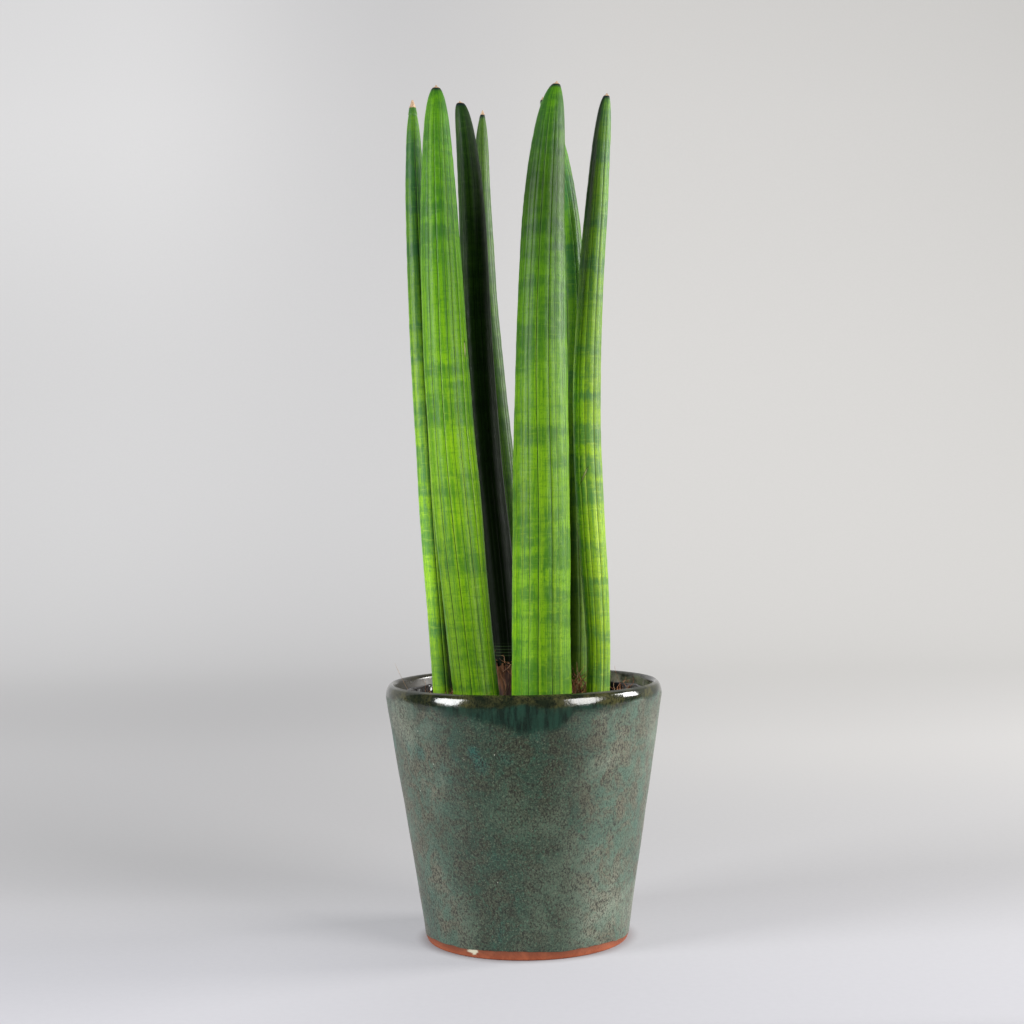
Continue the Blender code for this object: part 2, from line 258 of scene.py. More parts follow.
planter_points = corners("planter")
planter_low, planter_high = (np.array(corner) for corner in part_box("planter"))
planter_out = np.hypot(planter_points[:, 0], planter_points[:, 1])
RIM_RADIUS = (planter_high[0] - planter_low[0]) / 2
RIM_TOP = planter_high[2]
LIP_CENTRE = planter_out[planter_points[:, 2] > RIM_TOP - 1e-5].max()
LIP_RADIUS = RIM_RADIUS - LIP_CENTRE
WALL = 2 * LIP_RADIUS
FOOT_RADIUS = planter_out[planter_points[:, 2] < 0.001].max()
RECESS = planter_points[np.argmin(planter_out), 2]
RECESS_RADIUS = planter_out[planter_points[:, 2] < 1e-5].min()
over_floor = (planter_out < FOOT_RADIUS) & (planter_points[:, 2] > 2 * RECESS)
FLOOR_TOP = planter_points[over_floor, 2].min()
GLAZE_LINE = 0.0032
GLAZE_WAVE = 0.0006
LIP_BEAD = 0.0065
GLAZE_THICKNESS = 0.00025
LIP_GLOSS_DEPTH = 0.0045
RUNS_START = 0.004
RUNS_LENGTH = 0.013
TEAL_DEPTH = 0.026
TEAL_SPREAD = 0.012
POOL_MIDDLE = math.radians(-95)
POOL_WIDTH = math.radians(29)
POOL_EDGE = 0.0045
POOL_SAG = 0.0085
POOL_TILT = 0.0025
CHIP_BEARING = math.radians(-122)
CHIP_HEIGHT = 0.0032


def planter_profile():
    """The outline from the middle of the underside, out to the foot, up the cone, over the lip
    and down the inside to the middle of the floor, as (radius, height) rows."""
    lip_z = RIM_TOP - LIP_RADIUS
    edge, fillet = 0.0008, 0.003
    slope = (RIM_RADIUS - FOOT_RADIUS) / lip_z
    inner_foot = FOOT_RADIUS + slope * FLOOR_TOP - WALL
    bare_top = FOOT_RADIUS + slope * GLAZE_LINE
    bead_z = RIM_TOP - LIP_BEAD
    shoulder_r = RIM_RADIUS - slope * LIP_BEAD * 0.4
    return np.concatenate([
        run((0.0, RECESS), (RECESS_RADIUS - 0.0025, RECESS), 8),
        arc(RECESS_RADIUS - 0.0025, RECESS - 0.001, 0.001, 90, 40, 4),
        arc(RECESS_RADIUS + 0.0003, 0.0006, 0.0006, 220, 270, 4),
        arc(FOOT_RADIUS - edge, edge, edge, -90, -8, 7),
        run((FOOT_RADIUS, edge), (bare_top, GLAZE_LINE), 7),
        run((bare_top, GLAZE_LINE), (bare_top + slope * 0.001, GLAZE_LINE + 0.001), 6),
        run((bare_top + slope * 0.001, GLAZE_LINE + 0.001), (shoulder_r, bead_z - 0.001), 70),
        arc(LIP_CENTRE, 0, LIP_RADIUS - 0.0002, 0, 90, 22) * (1, LIP_BEAD / LIP_RADIUS)
        + (0, bead_z),
        arc(LIP_CENTRE, lip_z, LIP_RADIUS, 96, 180, 13),
        run((RIM_RADIUS - WALL, lip_z), (inner_foot, FLOOR_TOP + fillet), 40),
        arc(inner_foot - fillet, FLOOR_TOP + fillet, fillet, 0, -90, 8),
        run((inner_foot - fillet, FLOOR_TOP), (0.0, FLOOR_TOP), 10),
    ])


def shaped_planter():
    """Turns the profile, then lets the glaze line wave, steps the wall out by the glaze above
    that line, and adds the slight unevenness of a thrown wall and of pooled glaze."""
    profile = planter_profile()
    rings = turned(profile, 320)
    bearing = np.arctan2(rings[..., 1], rings[..., 0])
    out = np.hypot(rings[..., 0], rings[..., 1])
    row = np.arange(len(profile))[:, None]
    outside = row < int(np.argmax(profile[:, 1]))
    height = profile[:, 1:]
    near_line = outside * np.exp(-((height - GLAZE_LINE) / 0.0016) ** 2)
    round_foot = np.stack([np.cos(bearing), np.sin(bearing)], -1)
    wavy = waves(round_foot, 1.1, 7) + 0.35 * waves(round_foot, 0.18, 8)
    rings[..., 2] += near_line * GLAZE_WAVE * np.clip(wavy, -1.6, 1.6)
    above = smooth_step(0.0, 0.0009, height - GLAZE_LINE) * outside + ~outside
    wall = waves(rings * (1, 1, 1.4), 0.05, 11) * 0.00012 + waves(rings, 0.012, 12) * 0.00003
    pooled = 0.00012 * np.exp(-((RIM_TOP - height) / 0.004) ** 2) * waves(rings, 0.02, 13)
    swell = (above * (GLAZE_THICKNESS + pooled) + wall) * (height > RECESS * 0.5)
    swell = np.where(outside, swell, 0.0)
    rings[..., :2] *= (1 + swell / np.maximum(out, 1e-3))[..., None]
    return rings, above + 0 * out, near_line + 0 * out, outside + 0 * out


# Marks on the planter for its glaze. below is how far under the lip's top a point lies, and
# to_right runs from -1 at the left edge to 1 at the right edge.
planter_rings, glazed, glaze_edge, outer_face = shaped_planter()
glazed_planter = skin("glazed_planter", planter_rings, (0, 0, RECESS), (0, 0, FLOOR_TOP))
mark(glazed_planter, "glazed", glazed)
mark(glazed_planter, "glaze_edge", glaze_edge)
planter_z = planter_rings[..., 2]
planter_r = np.hypot(planter_rings[..., 0], planter_rings[..., 1])
inner_face = (1 - outer_face) * smooth_step(0.0, 0.7 * LIP_RADIUS, LIP_CENTRE - planter_r)
mark(glazed_planter, "inside", inner_face)
below = RIM_TOP - planter_z + 0.004 * inner_face + 0.0009 * waves(planter_rings, 0.02, 14)
mark(glazed_planter, "lip", np.exp(-np.clip((below - LIP_GLOSS_DEPTH) / 0.0012, 0, 9) ** 2))
mark(glazed_planter, "runs", np.exp(-np.clip((below - RUNS_START) / RUNS_LENGTH, 0, 9) ** 2))
planter_bearing = np.arctan2(planter_rings[..., 1], planter_rings[..., 0])
ring_point = planter_rings[..., :2] / np.maximum(planter_r, 1e-6)[..., None]
off_pool = ((planter_bearing - POOL_MIDDLE + math.pi) % math.tau - math.pi) / POOL_WIDTH
pool_depth = POOL_EDGE + (POOL_SAG + POOL_TILT * off_pool) * np.exp(-np.abs(off_pool) ** 3)
pool_depth = pool_depth + 0.0020 * waves(ring_point, 0.28, 15) + 0.0004 * waves(ring_point, 0.06, 16)
mark(glazed_planter, "pool", smooth_step(0.0026, -0.0012, below - pool_depth) * outer_face)
to_right = ring_point[..., 0]
# The glaze is lighter towards the left and right edges as seen: a painted sheen where the side lights
# reflect.
painted_side_sheen = smooth_step(0.26, 0.62, to_right) + smooth_step(-0.42, -0.78, to_right)
mark(glazed_planter, "painted_sheen", painted_side_sheen * (1 + 0.22 * waves(planter_rings * (1, 1, 0.5), 0.03, 18)))
teal_band = np.exp(-((below - TEAL_DEPTH) / TEAL_SPREAD) ** 2)
teal_band = teal_band * smooth_step(0.05, -0.45, to_right)
mark(glazed_planter, "teal", teal_band * smooth_step(0.0, 1.4, waves(planter_rings, 0.014, 19)))
# The inside is darker towards the left: painted shade.
mark(glazed_planter, "painted_inside_shade", smooth_step(0.30, -0.35, to_right))
chip_off = np.hypot(((planter_bearing - CHIP_BEARING + math.pi) % math.tau - math.pi) * FOOT_RADIUS,
                    (planter_z - CHIP_HEIGHT) * 1.3)
chip_off = chip_off + 0.0012 * waves(planter_rings, 0.0035, 17)
mark(glazed_planter, "chip", smooth_step(0.0030, 0.0019, chip_off))


def planter_finish():
    """Glaze: teal-green and olive clouds, lighter at the sides as a painted sheen, broken up by fine
    dark freckles and pale grains, with dark runs and a glossy pool under the lip; inside, grey-brown,
    with painted light on the right and painted shade on the left. Bare clay: orange-brown with a
    sandy grain, and one pale chip."""
    material, tree, shader = new_material("glazed_terracotta")
    at = place(tree)
    clouds = noise(tree, at, 24, 5.0, 0.62, 0.5)
    mottle = noise(tree, at, 95, 6.0, 0.72, 0.6)
    fine = noise(tree, stretched(tree, at, (1.0, 1.0, 0.6)), 1100, 4.0, 0.72)
    grain = noise(tree, at, 1300, 3.0, 0.75)
    streaks = noise(tree, stretched(tree, at, (1.0, 1.0, 0.10)), 330, 4.0, 0.65)
    tone = over(tree, (0.029, 0.060, 0.038), (0.045, 0.053, 0.032), between(tree, mottle, 0.40, 0.60))
    tone = over(tree, tone, (0.090, 0.120, 0.080), between(tree, clouds, 0.47, 0.68, 0.0, 0.70))
    # Painted sheen: lighter glaze at the sides.
    tone = over(tree, tone, (2.60, 2.10, 2.40), amount(tree, "painted_sheen"), "MULTIPLY")
    tone = over(tree, tone, (0.014, 0.090, 0.068), between(tree, clouds, 0.44, 0.32, 0.0, 0.45))
    tone = over(tree, tone, (0.010, 0.130, 0.110), times(tree, amount(tree, "teal"), 0.5))
    dense = between(tree, mottle, 0.40, 0.56, 0.35, 1.0)
    freckles = times(tree, between(tree, fine, 0.49, 0.58, 0.0, 0.85), dense)
    tone = over(tree, tone, (0.010, 0.009, 0.006), freckles)
    tone = over(tree, tone, (0.040, 0.160, 0.100), between(tree, fine, 0.42, 0.32, 0.0, 0.6))
    tone = over(tree, tone, (0.150, 0.185, 0.125), between(tree, grain, 0.56, 0.68, 0.0, 0.70))
    tone = over(tree, tone, (0.003, 0.007, 0.005), between(tree, grain, 0.47, 0.36, 0.0, 0.85))
    running = times(tree, amount(tree, "runs"), between(tree, streaks, 0.40, 0.56))
    running = times(tree, running, between(tree, clouds, 0.40, 0.58, 0.10, 0.8))
    tone = over(tree, tone, (0.007, 0.026, 0.018), times(tree, running, 0.6))
    pooled = between(tree, streaks, 0.38, 0.62)
    pooled = over(tree, (0.005, 0.014, 0.010), (0.015, 0.046, 0.031), pooled)
    tone = over(tree, tone, pooled, times(tree, amount(tree, "pool"), 0.92))
    tone = over(tree, tone, (0.42, 0.44, 0.36), dots(tree, at, 140, 0.05, 0.12))
    # Inside: a bright grey-brown as painted light on the right, painted shade towards the left, with dark
    # mottling.
    inside_light_and_shade = over(tree, (0.660, 0.620, 0.530), (0.080, 0.066, 0.050), amount(tree, "painted_inside_shade"))
    inside_light_and_shade = over(tree, inside_light_and_shade, (0.030, 0.024, 0.018), between(tree, mottle, 0.48, 0.60, 0.0, 0.7))
    tone = over(tree, tone, inside_light_and_shade, times(tree, amount(tree, "inside"), 0.92))
    lip = times(tree, amount(tree, "lip"), between(tree, streaks, 0.25, 0.6, 0.75, 1.0))
    rim_tone = over(tree, (0.010, 0.013, 0.005), (0.062, 0.058, 0.020), between(tree, mottle, 0.40, 0.64))
    rim_tone = over(tree, rim_tone, (0.003, 0.004, 0.002), between(tree, fine, 0.48, 0.60, 0.0, 0.75))
    tone = over(tree, tone, rim_tone, times(tree, lip, 0.92))
    clay = over(tree, (0.225, 0.046, 0.014), (0.340, 0.088, 0.034), between(tree, mottle, 0.35, 0.7))
    clay = over(tree, clay, (0.13, 0.036, 0.020), between(tree, fine, 0.54, 0.70, 0.0, 0.7))
    stain = times(tree, amount(tree, "glaze_edge"), 0.4)
    clay = over(tree, clay, (0.08, 0.036, 0.022), stain)
    clay = over(tree, clay, (0.60, 0.56, 0.42), amount(tree, "chip"))
    is_glazed = between(tree, amount(tree, "glazed"), 0.25, 0.75)
    put(tree, shader.inputs["Base Color"], over(tree, clay, tone, is_glazed))
    shine = between(tree, fine, 0.35, 0.7, 0.36, 0.50)
    shine = over(tree, shine, (0.045, 0.045, 0.045), amount(tree, "lip"))
    shine = over(tree, shine, (0.12, 0.12, 0.12), amount(tree, "pool"))
    put(tree, shader.inputs["Roughness"], over(tree, (0.85, 0.85, 0.85), shine, is_glazed))
    shader.inputs["IOR"].default_value = 1.48
    off_lip = maths(tree, "SUBTRACT", 1.0, lip)
    relief = bump(tree, times(tree, grain, off_lip), 0.00004)
    relief = bump(tree, times(tree, fine, off_lip), 0.00006, relief)
    put(tree, shader.inputs["Normal"], bump(tree, clouds, 0.0005, relief))
    return material


glazed_planter.data.materials.append(planter_finish())
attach(glazed_planter, "root")
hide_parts("planter")


# Growing pot. A thin moulded pot of glossy black plastic that the plant is sold in, standing on
# the planter's floor. Its rim is a thicker band with a rolled edge, and its raised base has
# round drain holes.

pot_points = corners("nursery_pot")
pot_out = np.hypot(pot_points[:, 0], pot_points[:, 1])
pot_low, pot_high = (np.array(corner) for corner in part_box("nursery_pot"))
POT_BOTTOM = pot_low[2]
POT_TOP = pot_high[2]
POT_RIM = (pot_high[0] - pot_low[0]) / 2
POT_EDGE = 0.001
POT_MOUTH = pot_out[pot_points[:, 2] > POT_TOP - 1e-5].min()
POT_BASE = pot_out[pot_points[:, 2] < POT_BOTTOM + 0.0011].max()
POT_UNDER = pot_points[pot_out < 1e-4, 2].min()
POT_FLOOR = pot_points[pot_out < 1e-4, 2].max()
POT_RING = pot_out[pot_points[:, 2] < POT_BOTTOM + 1e-5].min()
BAND_HEIGHT = 0.008
BAND_STEP = 0.0015
in_base = (pot_points[:, 2] < POT_FLOOR + 1e-5) & (pot_out > 0.01) & (pot_out < POT_RING - 0.004)
drain_edge = pot_out[in_base]
DRAIN_HOLES = 8
DRAIN_CUT_DEPTH = 0.004
DRAIN_RADIUS = (drain_edge.max() - drain_edge.min()) / 2
DRAIN_OUT = (drain_edge.max() + drain_edge.min()) / 2


def growing_pot_profile():
    """From the middle of the base, out and up the outside, over the rolled rim, down inside."""
    thick = POT_FLOOR - POT_UNDER
    band_z = POT_TOP - BAND_HEIGHT
    wall_r = POT_RIM - BAND_STEP - 0.0004
    return np.concatenate([
        run((0.0, POT_UNDER), (POT_RING - 0.003, POT_UNDER), 6),
        arc(POT_RING + 0.0006, POT_BOTTOM + 0.0006, 0.0006, 200, 270, 5),
        arc(POT_BASE - POT_EDGE, POT_BOTTOM + POT_EDGE, POT_EDGE, -90, -8, 7),
        run((POT_BASE, POT_BOTTOM + POT_EDGE), (wall_r - 0.0004, band_z), 24),
        arc(wall_r + 0.0003, band_z - 0.0003, 0.0003, 180, 90, 4),
        arc(POT_RIM - 0.0004, band_z + 0.0004, 0.0004, -90, -10, 4),
        run((POT_RIM, band_z + 0.0004), (POT_RIM, POT_TOP - POT_EDGE), 4),
        arc(POT_RIM - POT_EDGE, POT_TOP - POT_EDGE, POT_EDGE, 0, 90, 8),
        arc(POT_MOUTH + 0.0005, POT_TOP - 0.0005, 0.0005, 90, 175, 5),
        run((POT_MOUTH, POT_TOP - 0.0005), (POT_BASE - thick, POT_FLOOR + 0.001), 24),
        arc(POT_BASE - thick - 0.001, POT_FLOOR + 0.001, 0.001, -8, -90, 5),
        run((POT_BASE - thick - 0.001, POT_FLOOR), (0.0, POT_FLOOR), 6),
    ])


def cut_hole(body, name, centre, radius, depth):
    """Takes a round hole through a body, then drops the cutter."""
    bearing = np.linspace(0, math.tau, 40, endpoint=False)
    circle = np.stack([np.cos(bearing), np.sin(bearing), 0 * bearing], -1) * radius
    levels = np.array([-depth, depth])[:, None, None] * (0, 0, 1)
    cutter = skin(name, np.array(centre) + circle + levels, np.array(centre) - (0, 0, depth),
                  np.array(centre) + (0, 0, depth))
    cutting = body.modifiers.new(name, "BOOLEAN")
    cutting.operation = "DIFFERENCE"
    cutting.object = cutter
    bpy.context.view_layer.objects.active = body
    bpy.ops.object.modifier_apply(modifier=name)
    bpy.data.objects.remove(cutter)


pot_rings = turned(growing_pot_profile(), 192)
rim_part = smooth_step(POT_TOP - 0.02, POT_TOP, pot_rings[..., 2])
pot_rings[..., 2] += rim_part * 0.0005 * waves(pot_rings[..., :2], 0.03, 21)
growing_pot = skin("growing_pot", pot_rings, (0, 0, POT_UNDER), (0, 0, POT_FLOOR))
for hole in range(DRAIN_HOLES):
    turn = math.tau * hole / DRAIN_HOLES
    middle = (DRAIN_OUT * math.cos(turn), DRAIN_OUT * math.sin(turn), (POT_UNDER + POT_FLOOR) / 2)
    cut_hole(growing_pot, f"drain_{hole}", middle, DRAIN_RADIUS, DRAIN_CUT_DEPTH)


def black_plastic():
    """Glossy black plastic with a faint orange-peel skin, dust and water marks."""
    material, tree, shader = new_material("black_plastic")
    at = place(tree)
    dust = between(tree, noise(tree, at, 90, 5.0, 0.7), 0.52, 0.75)
    tone = over(tree, (0.004, 0.004, 0.005), (0.030, 0.027, 0.024), dust)
    put(tree, shader.inputs["Base Color"], tone)
    rough = plus(tree, times(tree, dust, 0.25), 0.07)
    put(tree, shader.inputs["Roughness"], rough)
    shader.inputs["Specular IOR Level"].default_value = 0.35
    put(tree, shader.inputs["Normal"], bump(tree, noise(tree, at, 150, 2.0), 0.0005))
    return material


growing_pot.data.materials.append(black_plastic())
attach(growing_pot, "root")
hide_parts("nursery_pot")


# Potting mix. Coir and peat that fill the growing pot, a little mounded round the leaves. The
# bed is one lumpy skin; loose crumbs, bark chips and coir fibres lie on it.

mix_points = corners("potting_mix")
mix_out = np.hypot(mix_points[:, 0], mix_points[:, 1])
mix_low, mix_high = (np.array(corner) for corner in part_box("potting_mix"))
MIX_RADIUS = (mix_high[0] - mix_low[0]) / 2
MIX_LEVEL = mix_points[mix_out > MIX_RADIUS - 1e-5, 2].max()
MIX_BOTTOM = mix_low[2]
MIX_BOTTOM_RADIUS = mix_out[mix_points[:, 2] < MIX_BOTTOM + 1e-5].max()
MIX_MOUND = mix_high[2] - MIX_LEVEL


def mix_height(points):
    """Height of the mix at (x, y): a low mound, level at the pot's wall, with lumps of three
    sizes."""
    share = np.clip(np.linalg.norm(points[..., :2], axis=-1) / MIX_RADIUS, 0, 1)
    flat = points[..., :2]
    lumps = 0.0011 * waves(flat, 0.016, 31) + 0.0007 * waves(flat, 0.006, 32)
    return MIX_LEVEL + (1 - share ** 2) * MIX_MOUND * 0.8 + lumps * (1 - 0.6 * share ** 6)


def mix_bed():
    """The bed's rings: up the side from the bottom, over the top from the wall to the middle."""
    side = run((MIX_BOTTOM_RADIUS, MIX_BOTTOM), (MIX_RADIUS, MIX_LEVEL - 0.001), 10)
    outwards = np.linspace(1, 0, 110, endpoint=False)[:, None] * MIX_RADIUS
    rings = turned(np.concatenate([side, np.concatenate([outwards, 0 * outwards], -1)]), 280)
    top = rings[len(side):]
    fine = 0.0004 * waves(top[..., :2], 0.0024, 33, 40) + 0.0002 * waves(top[..., :2], 0.0011, 34, 40)
    top[..., 2] = mix_height(top) + fine
    return rings


mix_rings = mix_bed()
mix = skin("potting_mix_bed", mix_rings, (0, 0, MIX_BOTTOM), mix_rings[-1].mean(0))


def mix_earth():
    """Dark brown earth: nearly black peat flecked with red-brown coir and pale bark."""
    material, tree, shader = new_material("potting_mix")
    at = place(tree)
    lumps = noise(tree, at, 320, 5.0, 0.7)
    flecks = noise(tree, at, 1100, 3.0, 0.7)
    earth = over(tree, (0.006, 0.004, 0.003), (0.026, 0.014, 0.008), between(tree, lumps, 0.38, 0.66))
    earth = over(tree, earth, (0.130, 0.060, 0.028), between(tree, flecks, 0.60, 0.72, 0.0, 0.8))
    put(tree, shader.inputs["Base Color"], earth)
    put(tree, shader.inputs["Roughness"], between(tree, lumps, 0.3, 0.6, 0.62, 0.95))
    shader.inputs["Specular IOR Level"].default_value = 0.25
    put(tree, shader.inputs["Normal"], bump(tree, flecks, 0.0003, bump(tree, lumps, 0.0006)))
    return material


earth = mix_earth()
mix.data.materials.append(earth)
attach(mix, "root")
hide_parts("potting_mix")


def leaf_rows(node):
    """A leaf's level rings as the CAD node has them: heights, middles and radii, lowest first.
    Each ring's middle is the middle of its box, and its radius half the box's width."""
    points = corners(node)
    levels = np.unique(np.round(points[:, 2], 6))
    rows = []
    for level in levels:
        ring = points[np.abs(points[:, 2] - level) < 2e-6]
        low, high = ring.min(0), ring.max(0)
        rows.append((level, (low[0] + high[0]) / 2, (low[1] + high[1]) / 2, (high[0] - low[0]) / 2))
    return np.array(rows)


LEAF_NODES = sorted(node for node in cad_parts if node.startswith("leaf_"))
leaf_lines = {node: leaf_rows(node) for node in LEAF_NODES}


def outside_leaves(points, margin):
    """True for each point that is clear of every leaf at the mix's level by a margin."""
    clear = np.ones(points.shape[:-1], bool)
    for rows in leaf_lines.values():
        middle = [np.interp(MIX_LEVEL, rows[:, 0], rows[:, column]) for column in (1, 2)]
        radius = np.interp(MIX_LEVEL, rows[:, 0], rows[:, 3])
        clear &= np.linalg.norm(points[..., :2] - middle, axis=-1) > radius + margin
    return clear


def scattered(count, seed, margin):
    """Random places on the mix, inside the pot's wall and outside the leaves."""
    draw = np.random.default_rng(seed)
    out = np.sqrt(draw.random(count * 2)) * (MIX_RADIUS - 0.0015)
    bearing = draw.random(count * 2) * math.tau
    spots = np.stack([out * np.cos(bearing), out * np.sin(bearing)], -1)
    spots = spots[outside_leaves(spots, margin)][:count]
    return np.concatenate([spots, mix_height(spots)[:, None]], -1)


def turns(count, draw):
    """Random rotation matrices, from random unit quaternions."""
    q = draw.normal(size=(count, 4))
    w, x, y, z = (q / np.linalg.norm(q, axis=1, keepdims=True)).T
    return np.stack([
        1 - 2 * (y * y + z * z), 2 * (x * y - z * w), 2 * (x * z + y * w),
        2 * (x * y + z * w), 1 - 2 * (x * x + z * z), 2 * (y * z - x * w),
        2 * (x * z - y * w), 2 * (y * z + x * w), 1 - 2 * (x * x + y * y)], -1).reshape(-1, 3, 3)


def lumps_at(name, spots, low, high, stretch, seed):
    """Many small lumps in one mesh: a 20-sided ball each, roughened, stretched along its own
    axes, turned at random and set down at its spot."""
    draw = np.random.default_rng(seed)
    golden = (1 + math.sqrt(5)) / 2
    ball = np.array([(-1, golden, 0), (1, golden, 0), (-1, -golden, 0), (1, -golden, 0),
                     (0, -1, golden), (0, 1, golden), (0, -1, -golden), (0, 1, -golden),
                     (golden, 0, -1), (golden, 0, 1), (-golden, 0, -1), (-golden, 0, 1)])
    faces = np.array([(0, 11, 5), (0, 5, 1), (0, 1, 7), (0, 7, 10), (0, 10, 11), (1, 5, 9),
                      (5, 11, 4), (11, 10, 2), (10, 7, 6), (7, 1, 8), (3, 9, 4), (3, 4, 2),
                      (3, 2, 6), (3, 6, 8), (3, 8, 9), (4, 9, 5), (2, 4, 11), (6, 2, 10),
                      (8, 6, 7), (9, 8, 1)])
    count = len(spots)
    shapes = ball / math.sqrt(1 + golden ** 2) * draw.uniform(0.7, 1.25, (count, 12, 1))
    sizes = low * (high / low) ** draw.random((count, 1, 1))
    shapes = shapes * sizes * np.array(stretch)
    shapes = np.einsum("nij,nkj->nki", turns(count, draw), shapes) + spots[:, None]
    faces = faces + 12 * np.arange(count)[:, None, None]
    made = made_of_faces(name, shapes.reshape(-1, 3), faces.reshape(-1, 3).tolist())
    mark(made, "tint", np.repeat(draw.random(count), 12))
    return made


def crumb_earth():
    """Crumbs and chips: each has its own tint, from black peat through brown to tan bark."""
    material, tree, shader = new_material("mix_crumbs")
    at = place(tree)
    tint = amount(tree, "tint")
    tone = over(tree, (0.005, 0.004, 0.003), (0.030, 0.015, 0.009), between(tree, tint, 0.25, 0.85))
    tone = over(tree, tone, (0.180, 0.100, 0.055), between(tree, tint, 0.90, 0.98))
    tone = over(tree, tone, (0.010, 0.007, 0.005), between(tree, noise(tree, at, 900), 0.5, 0.7, 0.0, 0.7))
    put(tree, shader.inputs["Base Color"], tone)
    put(tree, shader.inputs["Roughness"], between(tree, tint, 0.0, 1.0, 0.65, 0.9))
    shader.inputs["Specular IOR Level"].default_value = 0.3
    put(tree, shader.inputs["Normal"], bump(tree, noise(tree, at, 1400, 2.0), 0.0002))
    return material


crumb_tone = crumb_earth()
crumbs = lumps_at("mix_crumbs", scattered(2600, 41, 0.0004), 0.0004, 0.0019, (1, 1, 0.75), 42)
chips = lumps_at("bark_chips", scattered(110, 43, 0.003), 0.0016, 0.0032, (1.5, 0.75, 0.35), 44)
for loose in (crumbs, chips):
    loose.data.materials.append(crumb_tone)
    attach(loose, "root")


# Leaves. Seven stiff round spikes, each grown as one piece. The skin is pleated by fine
# lengthwise grooves, crossed by ragged dark bands, and ends in a hard dry point.

LEAF_ROWS = 300
PLEAT_DEPTH = 0.00020
PLEAT_SHOULDER = 0.00012
SCAR_HEIGHT = 0.0268
RINGS_PER_METRE = 4200.0


def eased(at, knots, values):
    """Values between knots by smooth cubic steps whose slopes are the knots' own gradients."""
    slopes = np.gradient(values, knots)
    i = np.clip(np.searchsorted(knots, at) - 1, 0, len(knots) - 2)
    span = knots[i + 1] - knots[i]
    u = np.clip((at - knots[i]) / span, 0, 1)
    return ((2 * u ** 3 - 3 * u ** 2 + 1) * values[i] + (u ** 3 - 2 * u ** 2 + u) * span * slopes[i]
            + (3 * u ** 2 - 2 * u ** 3) * values[i + 1] + (u ** 3 - u ** 2) * span * slopes[i + 1])


def leaf_shape(node, columns, pleats, seed, tip):
    """Level rings round the leaf's own bow. The radius is the CAD ring's, a little leaner in the
    last centimetre, less the pleats (a narrow dip at each of some scattered bearings), plus a slow
    swell. tip is the dry point's length, its radius at the foot, how much leaner the leaf's end
    is, and how far the end leans to the right. Returns the rings, the two end points and the
    vertex marks: skin, the place on the leaf; lane, where between two pleats; and to_dry, the
    distance to the dry point."""
    dry, pin, leaner, lean = tip
    line = leaf_lines[node]
    draw = np.random.default_rng(seed)
    low, high = line[0, 0], line[-1, 0]
    share = np.linspace(0, 1, LEAF_ROWS)
    z = low + (high - low) * (1 - (1 - share) ** 1.6)
    to_tip = high - z
    x, y = (eased(z, line[:, 0], line[:, column]) for column in (1, 2))
    middle = np.stack([x + lean * np.exp(-to_tip / 0.004), y], -1)
    cubed = eased(np.minimum(z + 0.6 * dry, high), line[:, 0], line[:, 3] ** 3)
    dome = np.cbrt(np.clip(cubed, 0, 1))
    dome = dome * (1 - leaner * np.exp(-to_tip / 0.006)) * (to_tip > 0.6 * dry)
    point = pin * (0.3 + 0.7 * np.clip(to_tip / dry, 0, 1))
    radius = np.cbrt(dome ** 3 + point ** 3 * (to_tip < 2 * dry))
    bearing = np.linspace(0, math.tau, columns, endpoint=False)
    girth = line[:, 3].max()
    spots = (np.arange(pleats) + draw.uniform(-0.27, 0.27, pleats)) * math.tau / pleats
    strength = draw.uniform(0.35, 1.0, pleats)
    wander = 0.05 * np.sin(z * 17 + seed) + 0.03 * np.sin(z * 41 + 2 * seed)
    around = (bearing - wander[:, None] - spots[0]) % math.tau
    lane = np.interp(around, np.append(spots - spots[0], math.tau), np.arange(pleats + 1))
    strength = strength[np.round(lane).astype(int) % pleats]
    swing = np.stack([np.cos(math.tau * lane), np.sin(math.tau * lane), strength], -1)
    width = math.tau * girth / pleats
    off = np.abs((lane + 0.5) % 1 - 0.5) * width
    fade = smooth_step(0.001, 0.03, to_tip)[:, None]
    ring = np.stack([np.cos(bearing), np.sin(bearing)], -1)
    along = np.concatenate([np.broadcast_to(ring, (LEAF_ROWS, columns, 2)) * girth,
                            np.broadcast_to(z[:, None, None], (LEAF_ROWS, columns, 1))], -1)
    swell = 0.00016 * waves(along * (1, 1, 0.5), 0.03, seed + 1)
    swell = swell + 0.00005 * waves(along, 0.006, seed + 2)
    pleat = PLEAT_DEPTH * np.exp(-(off / 0.0004) ** 2) + PLEAT_SHOULDER * np.exp(-(off / 0.0012) ** 2)
    pleat = strength * pleat
    body = radius[:, None] - fade * (pleat - swell)
    rings = np.concatenate([middle[:, None] + ring * body[..., None], along[..., 2:]], -1)
    marks = {
        "skin": along - (0, 0, MIX_LEVEL) + (seed * 0.137, seed * 0.071, seed * 0.61),
        "lane": swing * (1, 1, 0) + (0, 0, 1) * swing * fade[..., None],
        "to_dry": (to_tip - dry)[:, None] + 0 * bearing,
    }
    return rings, ((*middle[0], low - 0.001), (*middle[-1], high + 0.0003)), marks


def painted_light_of(rings, greens):
    """Painted light and shade on the leaf's green at each vertex: lighter where light would fall on
    the leaf, darker where its neighbours would shade it. Each row of greens has a height above the
    mix and a number for the leaf's left edge, its middle and its right edge."""
    heights, left, middle, right = np.array(greens).T
    up = rings[..., 2] - MIX_LEVEL
    to_right = rings[..., 0] - rings[..., 0].mean(1, keepdims=True)
    to_right = to_right / np.maximum(np.abs(to_right).max(1, keepdims=True), 1e-6)
    at_left, at_right = smooth_step(0.0, -0.75, to_right), smooth_step(0.0, 0.75, to_right)
    return (np.interp(up, heights, left) * at_left + np.interp(up, heights, right) * at_right
            + np.interp(up, heights, middle) * (1 - at_left - at_right))


